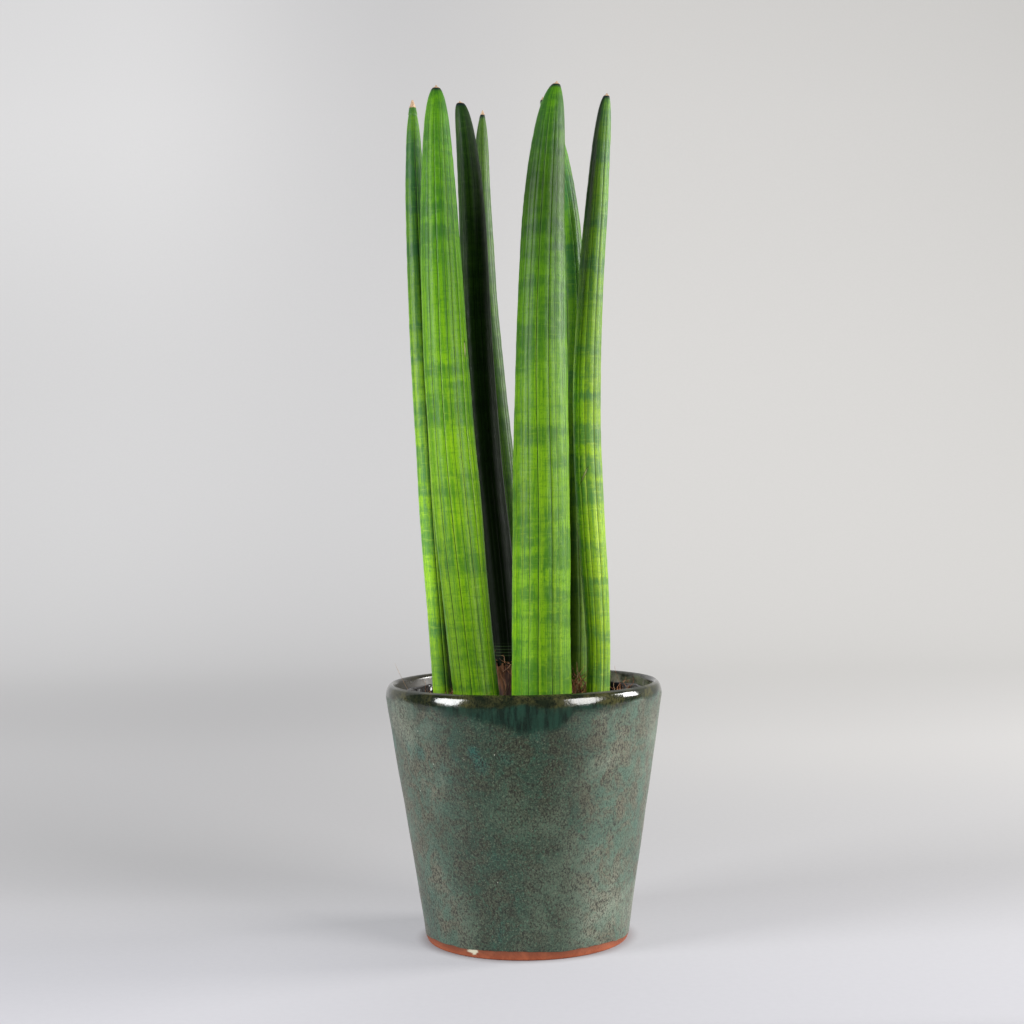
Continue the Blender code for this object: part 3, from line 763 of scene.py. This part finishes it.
def nick_place(rings, nick):
    """Where each vertex is from a scar's middle, along and across it, as a share of its size. nick
    is the scar's height above the mix, bearing, length, width and slant, in metres and degrees."""
    if nick is None:
        return np.full(rings.shape, 9.0)
    height, bearing, length, width, slant = nick
    middle = rings.mean(1, keepdims=True)
    away = rings - middle
    turn = np.arctan2(away[..., 1], away[..., 0]) - math.radians(bearing)
    across = ((turn + math.pi) % math.tau - math.pi) * np.ptp(rings[..., 0], axis=1).max() / 2
    up = rings[..., 2] - MIX_LEVEL - height
    c, s = math.cos(math.radians(slant)), math.sin(math.radians(slant))
    along, off = up * c + across * s, across * c - up * s
    return np.stack([along * 2 / length, off * 2 / width, 0 * off], -1)


def leaf_skin(name, light, dark, pale, bands, top_tone, gloss):
    """Leaf skin. Cross bands of darker, bluer green with ragged edges, fine lengthwise streaks,
    painted shade along the grooves and painted highlights on the ridges between them, rings left
    by old sheaths, a healed scar and a few pale specks, with a dark collar under the dry point.
    light, dark and pale are its three greens, bands how strong the cross bands are, top_tone what
    the green is multiplied by near the top, and gloss how strongly it shines. The green is also
    multiplied by the painted light and shade that the leaf carries."""
    material, tree, shader = new_material(name)
    at = place(tree, "skin")
    streaks = noise(tree, stretched(tree, at, (1.0, 1.0, 0.012)), 620, 3.0, 0.65)
    threads = noise(tree, stretched(tree, at, (1.0, 1.0, 0.03)), 1500, 2.0, 0.6)
    cells = noise(tree, stretched(tree, at, (1.0, 1.0, 0.4)), 1300, 3.0, 0.65)
    cross = noise(tree, stretched(tree, at, (0.14, 0.14, 1.0)), 800, 3.0, 0.65)
    blotches = noise(tree, stretched(tree, at, (1.0, 1.0, 0.5)), 210, 3.0, 0.6)
    ragged = tree.nodes.new("ShaderNodeVectorMath")
    ragged.operation = "MULTIPLY_ADD"
    put(tree, ragged.inputs[0], streaks)
    put(tree, ragged.inputs[1], (0.0, 0.0, 0.008))
    put(tree, ragged.inputs[2], at)
    wide = noise(tree, stretched(tree, ragged.outputs[0], (0.22, 0.22, 1.0)), 58, 2.0, 0.5)
    narrow = noise(tree, stretched(tree, ragged.outputs[0], (0.22, 0.22, 1.0)), 125, 2.0, 0.5)
    band = plus(tree, times(tree, wide, 0.45), times(tree, narrow, 0.55))
    band = between(tree, band, 0.46, 0.58, 0.0, bands)
    band = times(tree, band, between(tree, blotches, 0.30, 0.52, 0.35, 1.0))
    green = over(tree, light, dark, band)
    green = over(tree, green, pale, between(tree, streaks, 0.52, 0.68, 0.0, 0.45))
    green = over(tree, green, dark, between(tree, streaks, 0.47, 0.32, 0.0, 0.6))
    green = over(tree, green, dark, between(tree, threads, 0.48, 0.34, 0.0, 0.65))
    green = over(tree, green, dark, between(tree, cells, 0.46, 0.32, 0.0, 0.6))
    green = over(tree, green, pale, between(tree, cells, 0.58, 0.74, 0.0, 0.35))
    green = over(tree, green, dark, between(tree, cross, 0.48, 0.34, 0.0, 0.36))
    green = over(tree, green, pale, between(tree, cross, 0.56, 0.70, 0.0, 0.3))
    swing = tree.nodes.new("ShaderNodeSeparateXYZ")
    put(tree, swing.inputs[0], place(tree, "lane"))
    beside, across, strength = swing.outputs
    # Painted shade along each pleat's groove, and a painted highlight on the ridge beside it.
    near = between(tree, maths(tree, "ABSOLUTE", across), 0.10, 0.36, 1.0, 0.0)
    near = times(tree, near, between(tree, beside, 0.0, 0.4))
    deeper = plus(tree, times(tree, strength, 0.5), 0.45)
    line = times(tree, near, deeper)
    ridge_highlight = between(tree, across, 0.30, 0.48)
    ridge_highlight = times(tree, ridge_highlight, between(tree, across, 0.85, 0.55, 0.0, 0.4))
    ridge_highlight = times(tree, ridge_highlight, strength)
    ridge_highlight = times(tree, ridge_highlight, between(tree, beside, 0.0, 0.4))
    groove_shade = tuple(channel * 0.22 for channel in dark)
    green = over(tree, over(tree, green, pale, ridge_highlight), groove_shade, line)
    # Multiplied by top_tone towards the top and a little darker towards the foot; where top_tone is above
    # one, the lighter top is painted light over shaded lower parts.
    up = amount(tree, "up")
    toned = over(tree, (1.0, 1.0, 1.0), top_tone, between(tree, up, 0.09, 0.26))
    toned = over(tree, toned, (0.80, 0.82, 0.75), between(tree, up, 0.09, 0.02))
    green = over(tree, green, toned, 1.0, "MULTIPLY")
    # Multiplied by the painted light and shade that each leaf carries as tone.
    green = over(tree, green, place(tree, "tone"), 1.0, "MULTIPLY")
    ringed = maths(tree, "SINE", times(tree, up, RINGS_PER_METRE))
    from_scars = maths(tree, "ABSOLUTE", maths(tree, "SUBTRACT", up, SCAR_HEIGHT))
    ringed = times(tree, between(tree, ringed, 0.2, 0.9),
                   between(tree, from_scars, 0.0026, 0.0038, 0.75, 0.0))
    ringed = times(tree, ringed, amount(tree, "scars"))
    green = over(tree, green, (0.030, 0.050, 0.020), ringed)
    nick = tree.nodes.new("ShaderNodeVectorMath")
    nick.operation = "LENGTH"
    put(tree, nick.inputs[0], place(tree, "nick"))
    from_nick = plus(tree, nick.outputs["Value"], times(tree, cells, 0.9))
    green = over(tree, green, (0.030, 0.060, 0.012), between(tree, from_nick, 1.35, 1.75, 0.7, 0.0))
    green = over(tree, green, (0.400, 0.420, 0.190), between(tree, from_nick, 1.0, 1.35, 0.9, 0.0))
    to_dry = plus(tree, amount(tree, "to_dry"), times(tree, cells, 0.0006))
    collar = between(tree, to_dry, 0.0008, 0.0030, 0.95, 0.0)
    collar = times(tree, collar, amount(tree, "collar"))
    green = over(tree, green, (0.006, 0.012, 0.018), collar)
    specks = times(tree, dots(tree, at, 95, 0.045, 0.16), 0.8)
    green = over(tree, green, (0.42, 0.45, 0.22), specks)
    brown = over(tree, (0.24, 0.10, 0.050), (0.62, 0.45, 0.30), between(tree, cells, 0.35, 0.55))
    dryness = between(tree, to_dry, 0.0003, 0.0006, 1.0, 0.0)
    put(tree, shader.inputs["Base Color"], over(tree, green, brown, dryness))
    matt = between(tree, cells, 0.3, 0.7, 0.36, 0.48)
    matt = maths(tree, "MAXIMUM", matt, times(tree, dryness, 0.8))
    put(tree, shader.inputs["Roughness"], matt)
    shader.inputs["Specular IOR Level"].default_value = gloss
    relief = bump(tree, threads, 0.00006)
    relief = bump(tree, streaks, 0.00012, relief)
    put(tree, shader.inputs["Normal"], bump(tree, cells, 0.00006, relief))
    return material


bright_skin = leaf_skin("bright_leaf", (0.122, 0.270, 0.003), (0.033, 0.118, 0.009),
                        (0.214, 0.355, 0.012), 0.80, (0.44, 0.60, 0.80), 0.15)
# The dark and rear skins grow lighter towards the top: painted light on their lit tops above shaded lower
# parts.
dark_skin = leaf_skin("dark_leaf", (0.0050, 0.0150, 0.0016), (0.0018, 0.0070, 0.0014),
                      (0.012, 0.028, 0.005), 0.7, (2.6, 2.3, 2.4), 0.10)
rear_skin = leaf_skin("rear_leaf", (0.050, 0.120, 0.010), (0.016, 0.054, 0.010),
                      (0.085, 0.165, 0.030), 0.7, (1.4, 1.3, 1.4), 0.18)
# Each leaf: its skin, its slot, how many vertices go round, how many pleats, its tip as
# leaf_shape takes it, its own tint, partly painted light, and its greens, the painted light and
# shade by height and side, as the function above takes them.
LEAF_KINDS = {
    "leaf_left_outer": (
        bright_skin, "leaf_green", 150, 8, (0.0036, 0.0015, 0.60, 0.0), (1.55, 1.36, 4.0),
        ((0.02, 1.5, 1.4, 0.25), (0.06, 1.85, 1.85, 0.3), (0.13, 1.45, 1.5, 0.8),
         (0.20, 1.05, 1.0, 0.95))),
    "leaf_left_front": (
        bright_skin, "leaf_green", 260, 17, (0.0014, 0.0009, 0.16, 0.0), (1.03, 1.0, 1.0),
        ((0.02, 1.2, 1.15, 1.1), (0.06, 1.25, 1.25, 1.2), (0.10, 1.4, 1.4, 1.35),
         (0.155, 1.65, 1.65, 1.55), (0.25, 1.65, 1.6, 1.5))),
    "leaf_left_rear": (
        dark_skin, "leaf_dark_green", 180, 11, (0.0010, 0.0010, -0.15, -0.0002), (1.0, 1.0, 1.0),
        ((0.03, 0.4, 0.4, 0.4), (0.08, 0.5, 0.5, 0.5), (0.18, 1.4, 1.4, 1.0),
         (0.28, 2.1, 2.1, 1.5))),
    "leaf_rear": (
        rear_skin, "leaf_dark_green", 150, 8, (0.0020, 0.0009, 0.45, 0.0), (1.0, 1.0, 1.0),
        ((0.10, 1.0, 1.0, 1.0), (0.27, 0.9, 0.95, 0.95))),
    "leaf_front": (
        bright_skin, "leaf_green", 300, 19, (0.0014, 0.0010, 0.28, 0.0010), (1.0, 1.0, 1.0),
        ((0.03, 1.9, 1.25, 1.1), (0.10, 1.05, 1.12, 0.95), (0.155, 1.2, 1.15, 1.05),
         (0.205, 1.05, 1.08, 1.0), (0.25, 0.5, 0.62, 0.42), (0.30, 1.5, 1.6, 1.2))),
    "leaf_right_rear": (
        bright_skin, "leaf_green", 180, 10, (0.0014, 0.0010, 0.10, 0.0), (1.5, 1.35, 4.0),
        ((0.02, 0.1, 0.25, 0.45), (0.08, 0.1, 0.3, 0.45), (0.14, 0.5, 0.6, 0.7),
         (0.25, 1.9, 1.9, 1.15))),
    "leaf_right": (
        bright_skin, "leaf_green", 180, 11, (0.0012, 0.0009, 0.05, 0.0005), (1.55, 1.18, 4.0),
        ((0.03, 2.3, 1.7, 1.3), (0.06, 2.3, 1.7, 1.35), (0.155, 3.2, 1.6, 1.0),
         (0.20, 1.2, 1.3, 1.1), (0.25, 0.15, 1.0, 1.3))),
}
# Healed scars, as nick_place takes them.
NICKS = {
    "leaf_left_front": (0.173, -28, 0.0085, 0.0018, 4),
    "leaf_right": (0.112, -112, 0.0095, 0.0011, 28),
}
# Leaves that differ: one shows the rings of old sheaths, one has hardly any dark collar, and
# the foot of one stands a little further to the right.
RINGED_LEAF = "leaf_left_rear"
PALE_COLLARED_LEAF = "leaf_left_outer"
PALE_COLLAR = 0.2
LEANING_LEAF = "leaf_right_rear"
FOOT_LEAN = 0.0016
for number, node in enumerate(LEAF_NODES):
    leaf_material, leaf_slot, columns, pleats, tip, tint, greens = LEAF_KINDS[node]
    rings, ends, marks = leaf_shape(node, columns, pleats, 50 + number * 7, tip)
    if node == LEANING_LEAF:
        rings[..., 0] += FOOT_LEAN * smooth_step(0.10, 0.03, rings[..., 2] - MIX_LEVEL)
    leaf = skin(f"{node}_skin", rings, *ends)
    marks["up"] = rings[..., 2] - MIX_LEVEL
    # tone: the leaf's tint times its painted light and shade.
    marks["tone"] = painted_light_of(rings, greens)[..., None] * np.array(tint)
    marks["nick"] = nick_place(rings, NICKS.get(node))
    marks["scars"] = np.full(rings.shape[:2], float(node == RINGED_LEAF))
    marks["collar"] = np.full(rings.shape[:2], PALE_COLLAR if node == PALE_COLLARED_LEAF else 1.0)
    for mark_name, values in marks.items():
        mark(leaf, mark_name, values)
    leaf.data.materials.append(leaf_material)
    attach(leaf, "root")
    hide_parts(node)


# Dry sheath. The papery scale leaf left round the foot of one leaf: brown, brittle, torn along
# its top edge, and wrinkled lengthwise.

sheath_low, sheath_high = (np.array(corner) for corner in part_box("dry_sheath"))
sheathed = leaf_lines["leaf_left_rear"]


def sheath_rings():
    """An open sleeve as a closed thin wall: up the outside and down the inside. The top edge is
    torn, a tooth here and there, and flares from the leaf."""
    columns, rows, thick = 220, 40, 0.0005
    bearing = np.linspace(0, math.tau, columns, endpoint=False)
    ring = np.stack([np.cos(bearing), np.sin(bearing)], -1)
    torn = 0.0022 * waves(ring, 1.3, 61) + 0.0014 * waves(ring, 0.16, 62)
    torn = torn + 0.0009 * waves(ring, 0.05, 63)
    top = sheath_high[2] - 0.004 + np.clip(torn, -0.007, 0.0045)
    share = np.linspace(0, 1, rows)[:, None]
    z = sheath_low[2] + (top - sheath_low[2]) * share
    middle = np.stack([np.interp(z, sheathed[:, 0], sheathed[:, c]) for c in (1, 2)], -1)
    radius = np.interp(z, sheathed[:, 0], sheathed[:, 3])
    around = np.concatenate([np.broadcast_to(ring, (rows, columns, 2)) * 0.008, z[..., None] * 0.25], -1)
    wrinkles = 0.00022 * waves(around, 0.0022, 64) + 0.00035 * waves(around, 0.007, 65)
    flare = 0.0011 * share ** 3 * (1 + 0.8 * waves(ring, 0.6, 66))
    inner = radius + 0.0004 + np.clip(wrinkles + 0.0004, 0, 1) + flare
    wall = []
    for depth in (inner + thick * (1 - 0.6 * share), inner):
        wall.append(np.concatenate([middle + ring * depth[..., None], z[..., None]], -1))
    return np.concatenate([wall[0], wall[1][::-1]]), np.concatenate([around, around[::-1]])


def papery_brown():
    """Dry scale leaf: red-brown paper with pale lengthwise fibres and dark stains, and painted shade
    towards its foot.
    """
    material, tree, shader = new_material("dry_sheath")
    at = place(tree, "wrap")
    strands = noise(tree, stretched(tree, at, (1.0, 1.0, 0.5)), 700, 4.0, 0.65)
    stains = noise(tree, at, 180, 3.0, 0.6, 0.5)
    paper = over(tree, (0.040, 0.013, 0.006), (0.230, 0.090, 0.036), between(tree, strands, 0.42, 0.64))
    paper = over(tree, paper, (0.400, 0.230, 0.120), between(tree, strands, 0.62, 0.74, 0.0, 0.7))
    paper = over(tree, paper, (0.030, 0.014, 0.009), between(tree, stains, 0.50, 0.66, 0.0, 0.8))
    # Painted shade: darker towards the foot of the sheath.
    painted_foot_shade = between(tree, amount(tree, "foot"), 0.40, 1.0, 0.0, 0.85)
    paper = over(tree, paper, (0.010, 0.004, 0.003), painted_foot_shade)
    put(tree, shader.inputs["Base Color"], paper)
    put(tree, shader.inputs["Roughness"], between(tree, strands, 0.3, 0.7, 0.9, 0.65))
    put(tree, shader.inputs["Normal"], bump(tree, strands, 0.0003))
    return material


sleeve, wrap = sheath_rings()
papery_sheath = skin("papery_sheath", sleeve, joined=True)
mark(papery_sheath, "wrap", wrap)
mark(papery_sheath, "foot", (sheath_high[2] - 0.002 - sleeve[..., 2]) / (sheath_high[2] - MIX_LEVEL))
papery_sheath.data.materials.append(papery_brown())
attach(papery_sheath, "root")
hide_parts("dry_sheath")


# Coir. Fibres of coconut husk from the mix: tufts that stand up between the leaves, single
# stray hairs, frayed ones at the sheath, and loose ones that lie on the mix. Each fibre is a
# thin tapering tube.

def fibres(name, starts, ways, lengths, thickness, curl, droop, seed):
    """Many fibres in one mesh. Each runs from its start along its way; two slow waves square to
    that way bend it, more towards its end, and droop pulls the end down. Five-sided rings
    taper from thickness to a third of it, closed at both ends."""
    draw = np.random.default_rng(seed)
    count, steps, sides = len(starts), 16, 5
    ways = ways / np.linalg.norm(ways, axis=1, keepdims=True)
    helper = np.where(np.abs(ways[:, 2:]) < 0.9, (0.0, 0.0, 1.0), (1.0, 0.0, 0.0))
    first = np.cross(ways, helper)
    first /= np.linalg.norm(first, axis=1, keepdims=True)
    second = np.cross(ways, first)
    t = np.linspace(0, 1, steps)
    bends = []
    for _ in range(2):
        turns_made = draw.uniform(0.3, 1.1, (count, 1))
        phase = draw.uniform(0, math.tau, (count, 1))
        bend = np.sin(math.tau * turns_made * t + phase) - np.sin(phase)
        bends.append((bend * t ** 0.7 * curl * lengths[:, None])[..., None])
    line = (starts[:, None] + ways[:, None] * (lengths[:, None] * t)[..., None]
            + first[:, None] * bends[0] + second[:, None] * bends[1])
    line[..., 2] -= droop * lengths[:, None] * t ** 2
    bearing = np.linspace(0, math.tau, sides, endpoint=False)
    cross = (first[:, None] * np.cos(bearing)[:, None] + second[:, None] * np.sin(bearing)[:, None])
    girth = thickness[:, None] / 2 * (1 - 0.67 * t)
    points = line[:, :, None] + cross[:, None] * girth[..., None, None]
    index = np.arange(count * steps * sides).reshape(count, steps, sides)
    lower, upper = index[:, :-1], index[:, 1:]
    quads = np.stack([lower, np.roll(lower, -1, 2), np.roll(upper, -1, 2), upper], -1)
    ends = index[:, 0, ::-1].tolist() + index[:, -1].tolist()
    made = made_of_faces(name, points.reshape(-1, 3), quads.reshape(-1, 4).tolist() + ends)
    mark(made, "tint", np.repeat(draw.random(count), steps * sides))
    return made


def coir_brown():
    """Coir: each fibre its own tint, red-brown, tan or straw, darker in patches."""
    material, tree, shader = new_material("coir")
    tint = amount(tree, "tint")
    tone = over(tree, (0.100, 0.028, 0.010), (0.480, 0.180, 0.070), between(tree, tint, 0.0, 0.8))
    tone = over(tree, tone, (0.640, 0.450, 0.270), between(tree, tint, 0.84, 1.0))
    patches = between(tree, noise(tree, place(tree), 420), 0.45, 0.65, 0.0, 0.55)
    put(tree, shader.inputs["Base Color"], over(tree, tone, (0.030, 0.013, 0.008), patches))
    put(tree, shader.inputs["Roughness"], between(tree, tint, 0.0, 1.0, 0.75, 0.6))
    return material


coir = coir_brown()


def coir_piece(piece, *nodes):
    """Finishes a group of fibres, which may stand for CAD tufts."""
    piece.data.materials.append(coir)
    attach(piece, "root")
    if nodes:
        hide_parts(*nodes)


def tuft(node, count, spread, seed):
    """Fibres that spring from the tuft's knot, as high as the CAD tuft stands."""
    low, high = (np.array(corner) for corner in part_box(node))
    draw = np.random.default_rng(seed)
    middle = (low + high) / 2
    reach = high[2] - MIX_LEVEL
    bearing = draw.random(count) * math.tau
    out = np.sqrt(draw.random(count)) * (high[0] - low[0]) * 0.45
    starts = np.stack([middle[0] + out * np.cos(bearing), middle[1] + out * np.sin(bearing),
                       np.full(count, MIX_LEVEL)], -1)
    starts[:, 2] = mix_height(starts) - 0.001
    lean = draw.normal(0, spread, (count, 2)) + out[:, None] * 20 * np.stack(
        [np.cos(bearing), np.sin(bearing)], -1)
    ways = np.concatenate([lean, np.ones((count, 1))], -1)
    lengths = reach * draw.uniform(0.45, 1.25, count)
    return fibres(f"{node}_fibres", starts, ways, lengths, draw.uniform(0.00026, 0.00060, count),
                  0.24, 0.12, seed + 1)


coir_piece(tuft("coir_tuft_middle", 80, 0.24, 71), "coir_tuft_middle")
coir_piece(tuft("coir_tuft_right", 16, 0.30, 73), "coir_tuft_right")
coir_piece(tuft("coir_tuft_left", 14, 0.38, 75), "coir_tuft_left")
coir_piece(tuft("coir_tuft_front", 30, 0.38, 77), "coir_tuft_front")


def stray_hairs():
    """Single long hairs: (foot x, foot y, lean right, lean back, length), in metres."""
    hairs = np.array([
        (-0.0515, 0.002, -0.62, -0.10, 0.026), (-0.0500, 0.010, 0.25, -0.20, 0.015),
        (-0.0460, 0.016, -0.35, 0.10, 0.013), (0.0245, 0.000, -0.16, -0.15, 0.025),
        (0.0270, 0.003, 0.10, 0.05, 0.021), (0.0475, 0.000, -0.05, -0.10, 0.020),
        (0.0500, 0.004, 0.30, 0.10, 0.015), (-0.0120, -0.012, 0.35, -0.15, 0.014),
        (-0.0080, -0.010, -0.20, -0.10, 0.017), (-0.0350, -0.028, 0.75, -0.25, 0.019),
        (-0.0330, -0.030, 1.40, -0.10, 0.022), (-0.0450, -0.020, 0.90, -0.30, 0.012)])
    starts = np.concatenate([hairs[:, :2], mix_height(hairs[:, :2])[:, None] - 0.001], -1)
    ways = np.concatenate([hairs[:, 2:4], np.ones((len(hairs), 1))], -1)
    made = fibres("stray_hairs", starts, ways, hairs[:, 4], np.full(len(hairs), 0.00026), 0.07, 0.05, 79)
    mark(made, "tint", np.repeat(np.tile((0.95, 0.6, 0.3, 0.99), 3), 80))
    return made


coir_piece(stray_hairs())


def sheath_fray(count, seed):
    """Fibres that have come loose from the front of the dry sheath, curling out and up."""
    draw = np.random.default_rng(seed)
    z = draw.uniform(sheath_high[2] - 0.015, sheath_high[2] - 0.003, count)
    bearing = np.radians(draw.uniform(-160, -20, count))
    out = np.interp(z, sheathed[:, 0], sheathed[:, 3]) + 0.0012
    starts = np.stack([np.interp(z, sheathed[:, 0], sheathed[:, 1]) + out * np.cos(bearing),
                       np.interp(z, sheathed[:, 0], sheathed[:, 2]) + out * np.sin(bearing), z], -1)
    ways = np.stack([0.3 * np.cos(bearing) + draw.normal(0, 0.4, count), 0.35 * np.sin(bearing),
                     draw.uniform(0.1, 1.0, count)], -1)
    return fibres("sheath_fray", starts, ways, draw.uniform(0.004, 0.009, count),
                  draw.uniform(0.00022, 0.00042, count), 0.30, 0.20, seed + 1)


coir_piece(sheath_fray(34, 91))


def loose_fibres(count, seed):
    """Fibres that lie on the mix, nearly level, at any bearing."""
    draw = np.random.default_rng(seed)
    starts = scattered(count, seed, 0.002) + (0, 0, 0.0006)
    bearing = draw.random(len(starts)) * math.tau
    ways = np.stack([np.cos(bearing), np.sin(bearing), draw.uniform(-0.02, 0.10, len(starts))], -1)
    lengths = draw.uniform(0.005, 0.016, len(starts))
    room = MIX_RADIUS - 0.001 - np.linalg.norm((starts + ways * lengths[:, None])[:, :2], axis=1)
    lengths = np.where(room < 0, 0.004, lengths)
    return fibres("loose_coir", starts, ways, lengths, draw.uniform(0.00015, 0.00034, len(starts)),
                  0.20, 0.15, seed + 1)


coir_piece(loose_fibres(110, 81))


# Studio. A pale paper floor that sweeps up into a wall behind, three large soft lights at the
# front left, the front right and the right side, and a long lens a little above the rim.

SWEEP_START = 1.3
SWEEP_RADIUS = 0.9
WALL_TOP = 3.5
STAGE_WIDTH = 9.0
STAGE_FRONT = -4.0


def paper_sweep():
    """Floor, quarter-round sweep and wall as one strip of quads across the stage."""
    bend = arc(SWEEP_START, SWEEP_RADIUS, SWEEP_RADIUS, -90, 0, 24)
    line = np.concatenate([[(STAGE_FRONT, 0.0)], bend, [(SWEEP_START + SWEEP_RADIUS, WALL_TOP)]])
    left = np.stack([np.full(len(line), -STAGE_WIDTH / 2), line[:, 0], line[:, 1]], -1)
    right = left * (-1, 1, 1)
    index = np.arange(len(line))
    faces = np.stack([index[:-1], index[:-1] + len(line), index[1:] + len(line), index[1:]], -1)
    return made_of_faces("pale_sweep", np.concatenate([left, right]), faces.tolist())


def pale_paper():
    """Matt pale background paper that glows a little as painted light, with painted shading bands:
    more on the wall, less on the floor, a painted shadow close to the planter's foot, and dark on the
    floor nearest the camera, so that the glaze does not mirror it."""
    material, tree, shader = new_material("pale_paper")
    grain = between(tree, noise(tree, place(tree), 300, 3.0), 0.3, 0.7)
    split = tree.nodes.new("ShaderNodeSeparateXYZ")
    put(tree, split.inputs[0], place(tree))
    across, back, up = split.outputs
    # The glow's bands, lighter high on the left and to the right, darker low behind the planter, are
    # painted light and shade.
    side = between(tree, across, -0.3, 0.3)
    rising = plus(tree, 0.05, times(tree, side, 0.06))
    rising = times(tree, between(tree, back, 0.2, 0.7), rising)
    wall = maths(tree, "SUBTRACT", 0.17, times(tree, side, 0.08))
    wall = times(tree, between(tree, back, 0.8, 2.0), wall)
    nearer = plus(tree, 0.08, between(tree, across, -0.02, -0.15, 0.0, 0.06))
    nearer = times(tree, between(tree, back, 0.16, -0.08), nearer)
    glow = plus(tree, between(tree, side, 0.0, 1.0, 0.215, 0.27), nearer)
    glow = plus(tree, glow, plus(tree, rising, wall))
    glow = plus(tree, glow, between(tree, across, -0.2, -0.7, 0.0, 0.04))
    glow = maths(tree, "SUBTRACT", glow, between(tree, up, 0.35, 1.3, 0.0, 0.06))
    high_left = between(tree, across, -0.15, -0.7, 0.0, 0.09)
    high_left = times(tree, between(tree, up, 0.4, 0.95), high_left)
    glow = plus(tree, glow, high_left)
    # A painted shadow round the planter's foot: the glow dims close to it.
    from_foot = tree.nodes.new("ShaderNodeVectorMath")
    from_foot.operation = "LENGTH"
    put(tree, from_foot.inputs[0], place(tree))
    near = between(tree, from_foot.outputs["Value"], FOOT_RADIUS - 0.002, FOOT_RADIUS + 0.007,
                   0.25, 1.0)
    glow = times(tree, glow, between(tree, back, -0.14, -0.24, 1.0, 0.15))
    put(tree, shader.inputs["Emission Strength"], times(tree, glow, near))
    cool = over(tree, (0.955, 0.955, 1.04), (1.0, 1.0, 0.995), between(tree, back, -0.15, 0.25))
    warm = times(tree, between(tree, back, 0.1, 0.6), side)
    put(tree, shader.inputs["Emission Color"], over(tree, cool, (1.01, 0.995, 0.945), warm))
    paper = over(tree, (0.285, 0.280, 0.290), (0.295, 0.290, 0.300), grain)
    put(tree, shader.inputs["Base Color"],
        over(tree, paper, (0.060, 0.060, 0.062), between(tree, back, -0.14, -0.24)))
    shader.inputs["Roughness"].default_value = 0.9
    shader.inputs["Specular IOR Level"].default_value = 0.1
    return material


def soft_light(name, bearing, elevation, distance, width, height, power, colour):
    """A rectangular light aimed at the plant's middle. The bearing is from the camera's side,
    positive to the right."""
    target = np.array([0.0, 0.0, RIM_TOP + 0.08])
    a, e = math.radians(bearing), math.radians(elevation)
    way = np.array([math.sin(a) * math.cos(e), -math.cos(a) * math.cos(e), math.sin(e)])
    data = bpy.data.lights.new(name, "AREA")
    data.shape = "RECTANGLE"
    data.size = width
    data.size_y = height
    data.energy = power
    data.color = colour
    light = bpy.data.objects.new(name, data)
    light.location = target + way * distance
    light.rotation_euler = (math.radians(90) - e, 0.0, a)
    light.visible_camera = False
    bpy.context.scene.collection.objects.link(light)


backdrop = paper_sweep()
backdrop.data.materials.append(pale_paper())
soft_light("left_softbox", -64, 15, 1.7, 0.66, 0.62, 32.0, (0.97, 0.99, 1.0))
soft_light("right_softbox", 50, 15, 1.7, 0.75, 0.62, 29.0, (1.0, 0.99, 0.97))
soft_light("side_softbox", 99, 15, 1.7, 0.62, 0.62, 34.0, (1.0, 0.99, 0.97))

world = bpy.data.worlds.new("studio_room")
world.use_nodes = True
world_tree = world.node_tree
seen = world_tree.nodes["Background"]
seen.inputs["Color"].default_value = (0.69, 0.70, 0.69, 1.0)
room = world_tree.nodes.new("ShaderNodeBackground")
room.inputs["Color"].default_value = (0.07, 0.07, 0.075, 1.0)
rays = world_tree.nodes.new("ShaderNodeLightPath")
choose = world_tree.nodes.new("ShaderNodeMixShader")
world_tree.links.new(rays.outputs["Is Camera Ray"], choose.inputs[0])
world_tree.links.new(room.outputs[0], choose.inputs[1])
world_tree.links.new(seen.outputs[0], choose.inputs[2])
world_tree.links.new(choose.outputs[0], world_tree.nodes["World Output"].inputs["Surface"])
scene = bpy.context.scene
scene.world = world
scene.view_settings.view_transform = "Standard"

lens = bpy.data.cameras.new("camera")
lens.lens = 60.4
lens.sensor_width = 36.0
camera = bpy.data.objects.new("camera", lens)
camera.location = (-0.0043, -0.8439, 0.2113)
camera.rotation_euler = (math.radians(90 - 0.23), math.radians(0.92), 0.0)
scene.collection.objects.link(camera)
scene.camera = camera
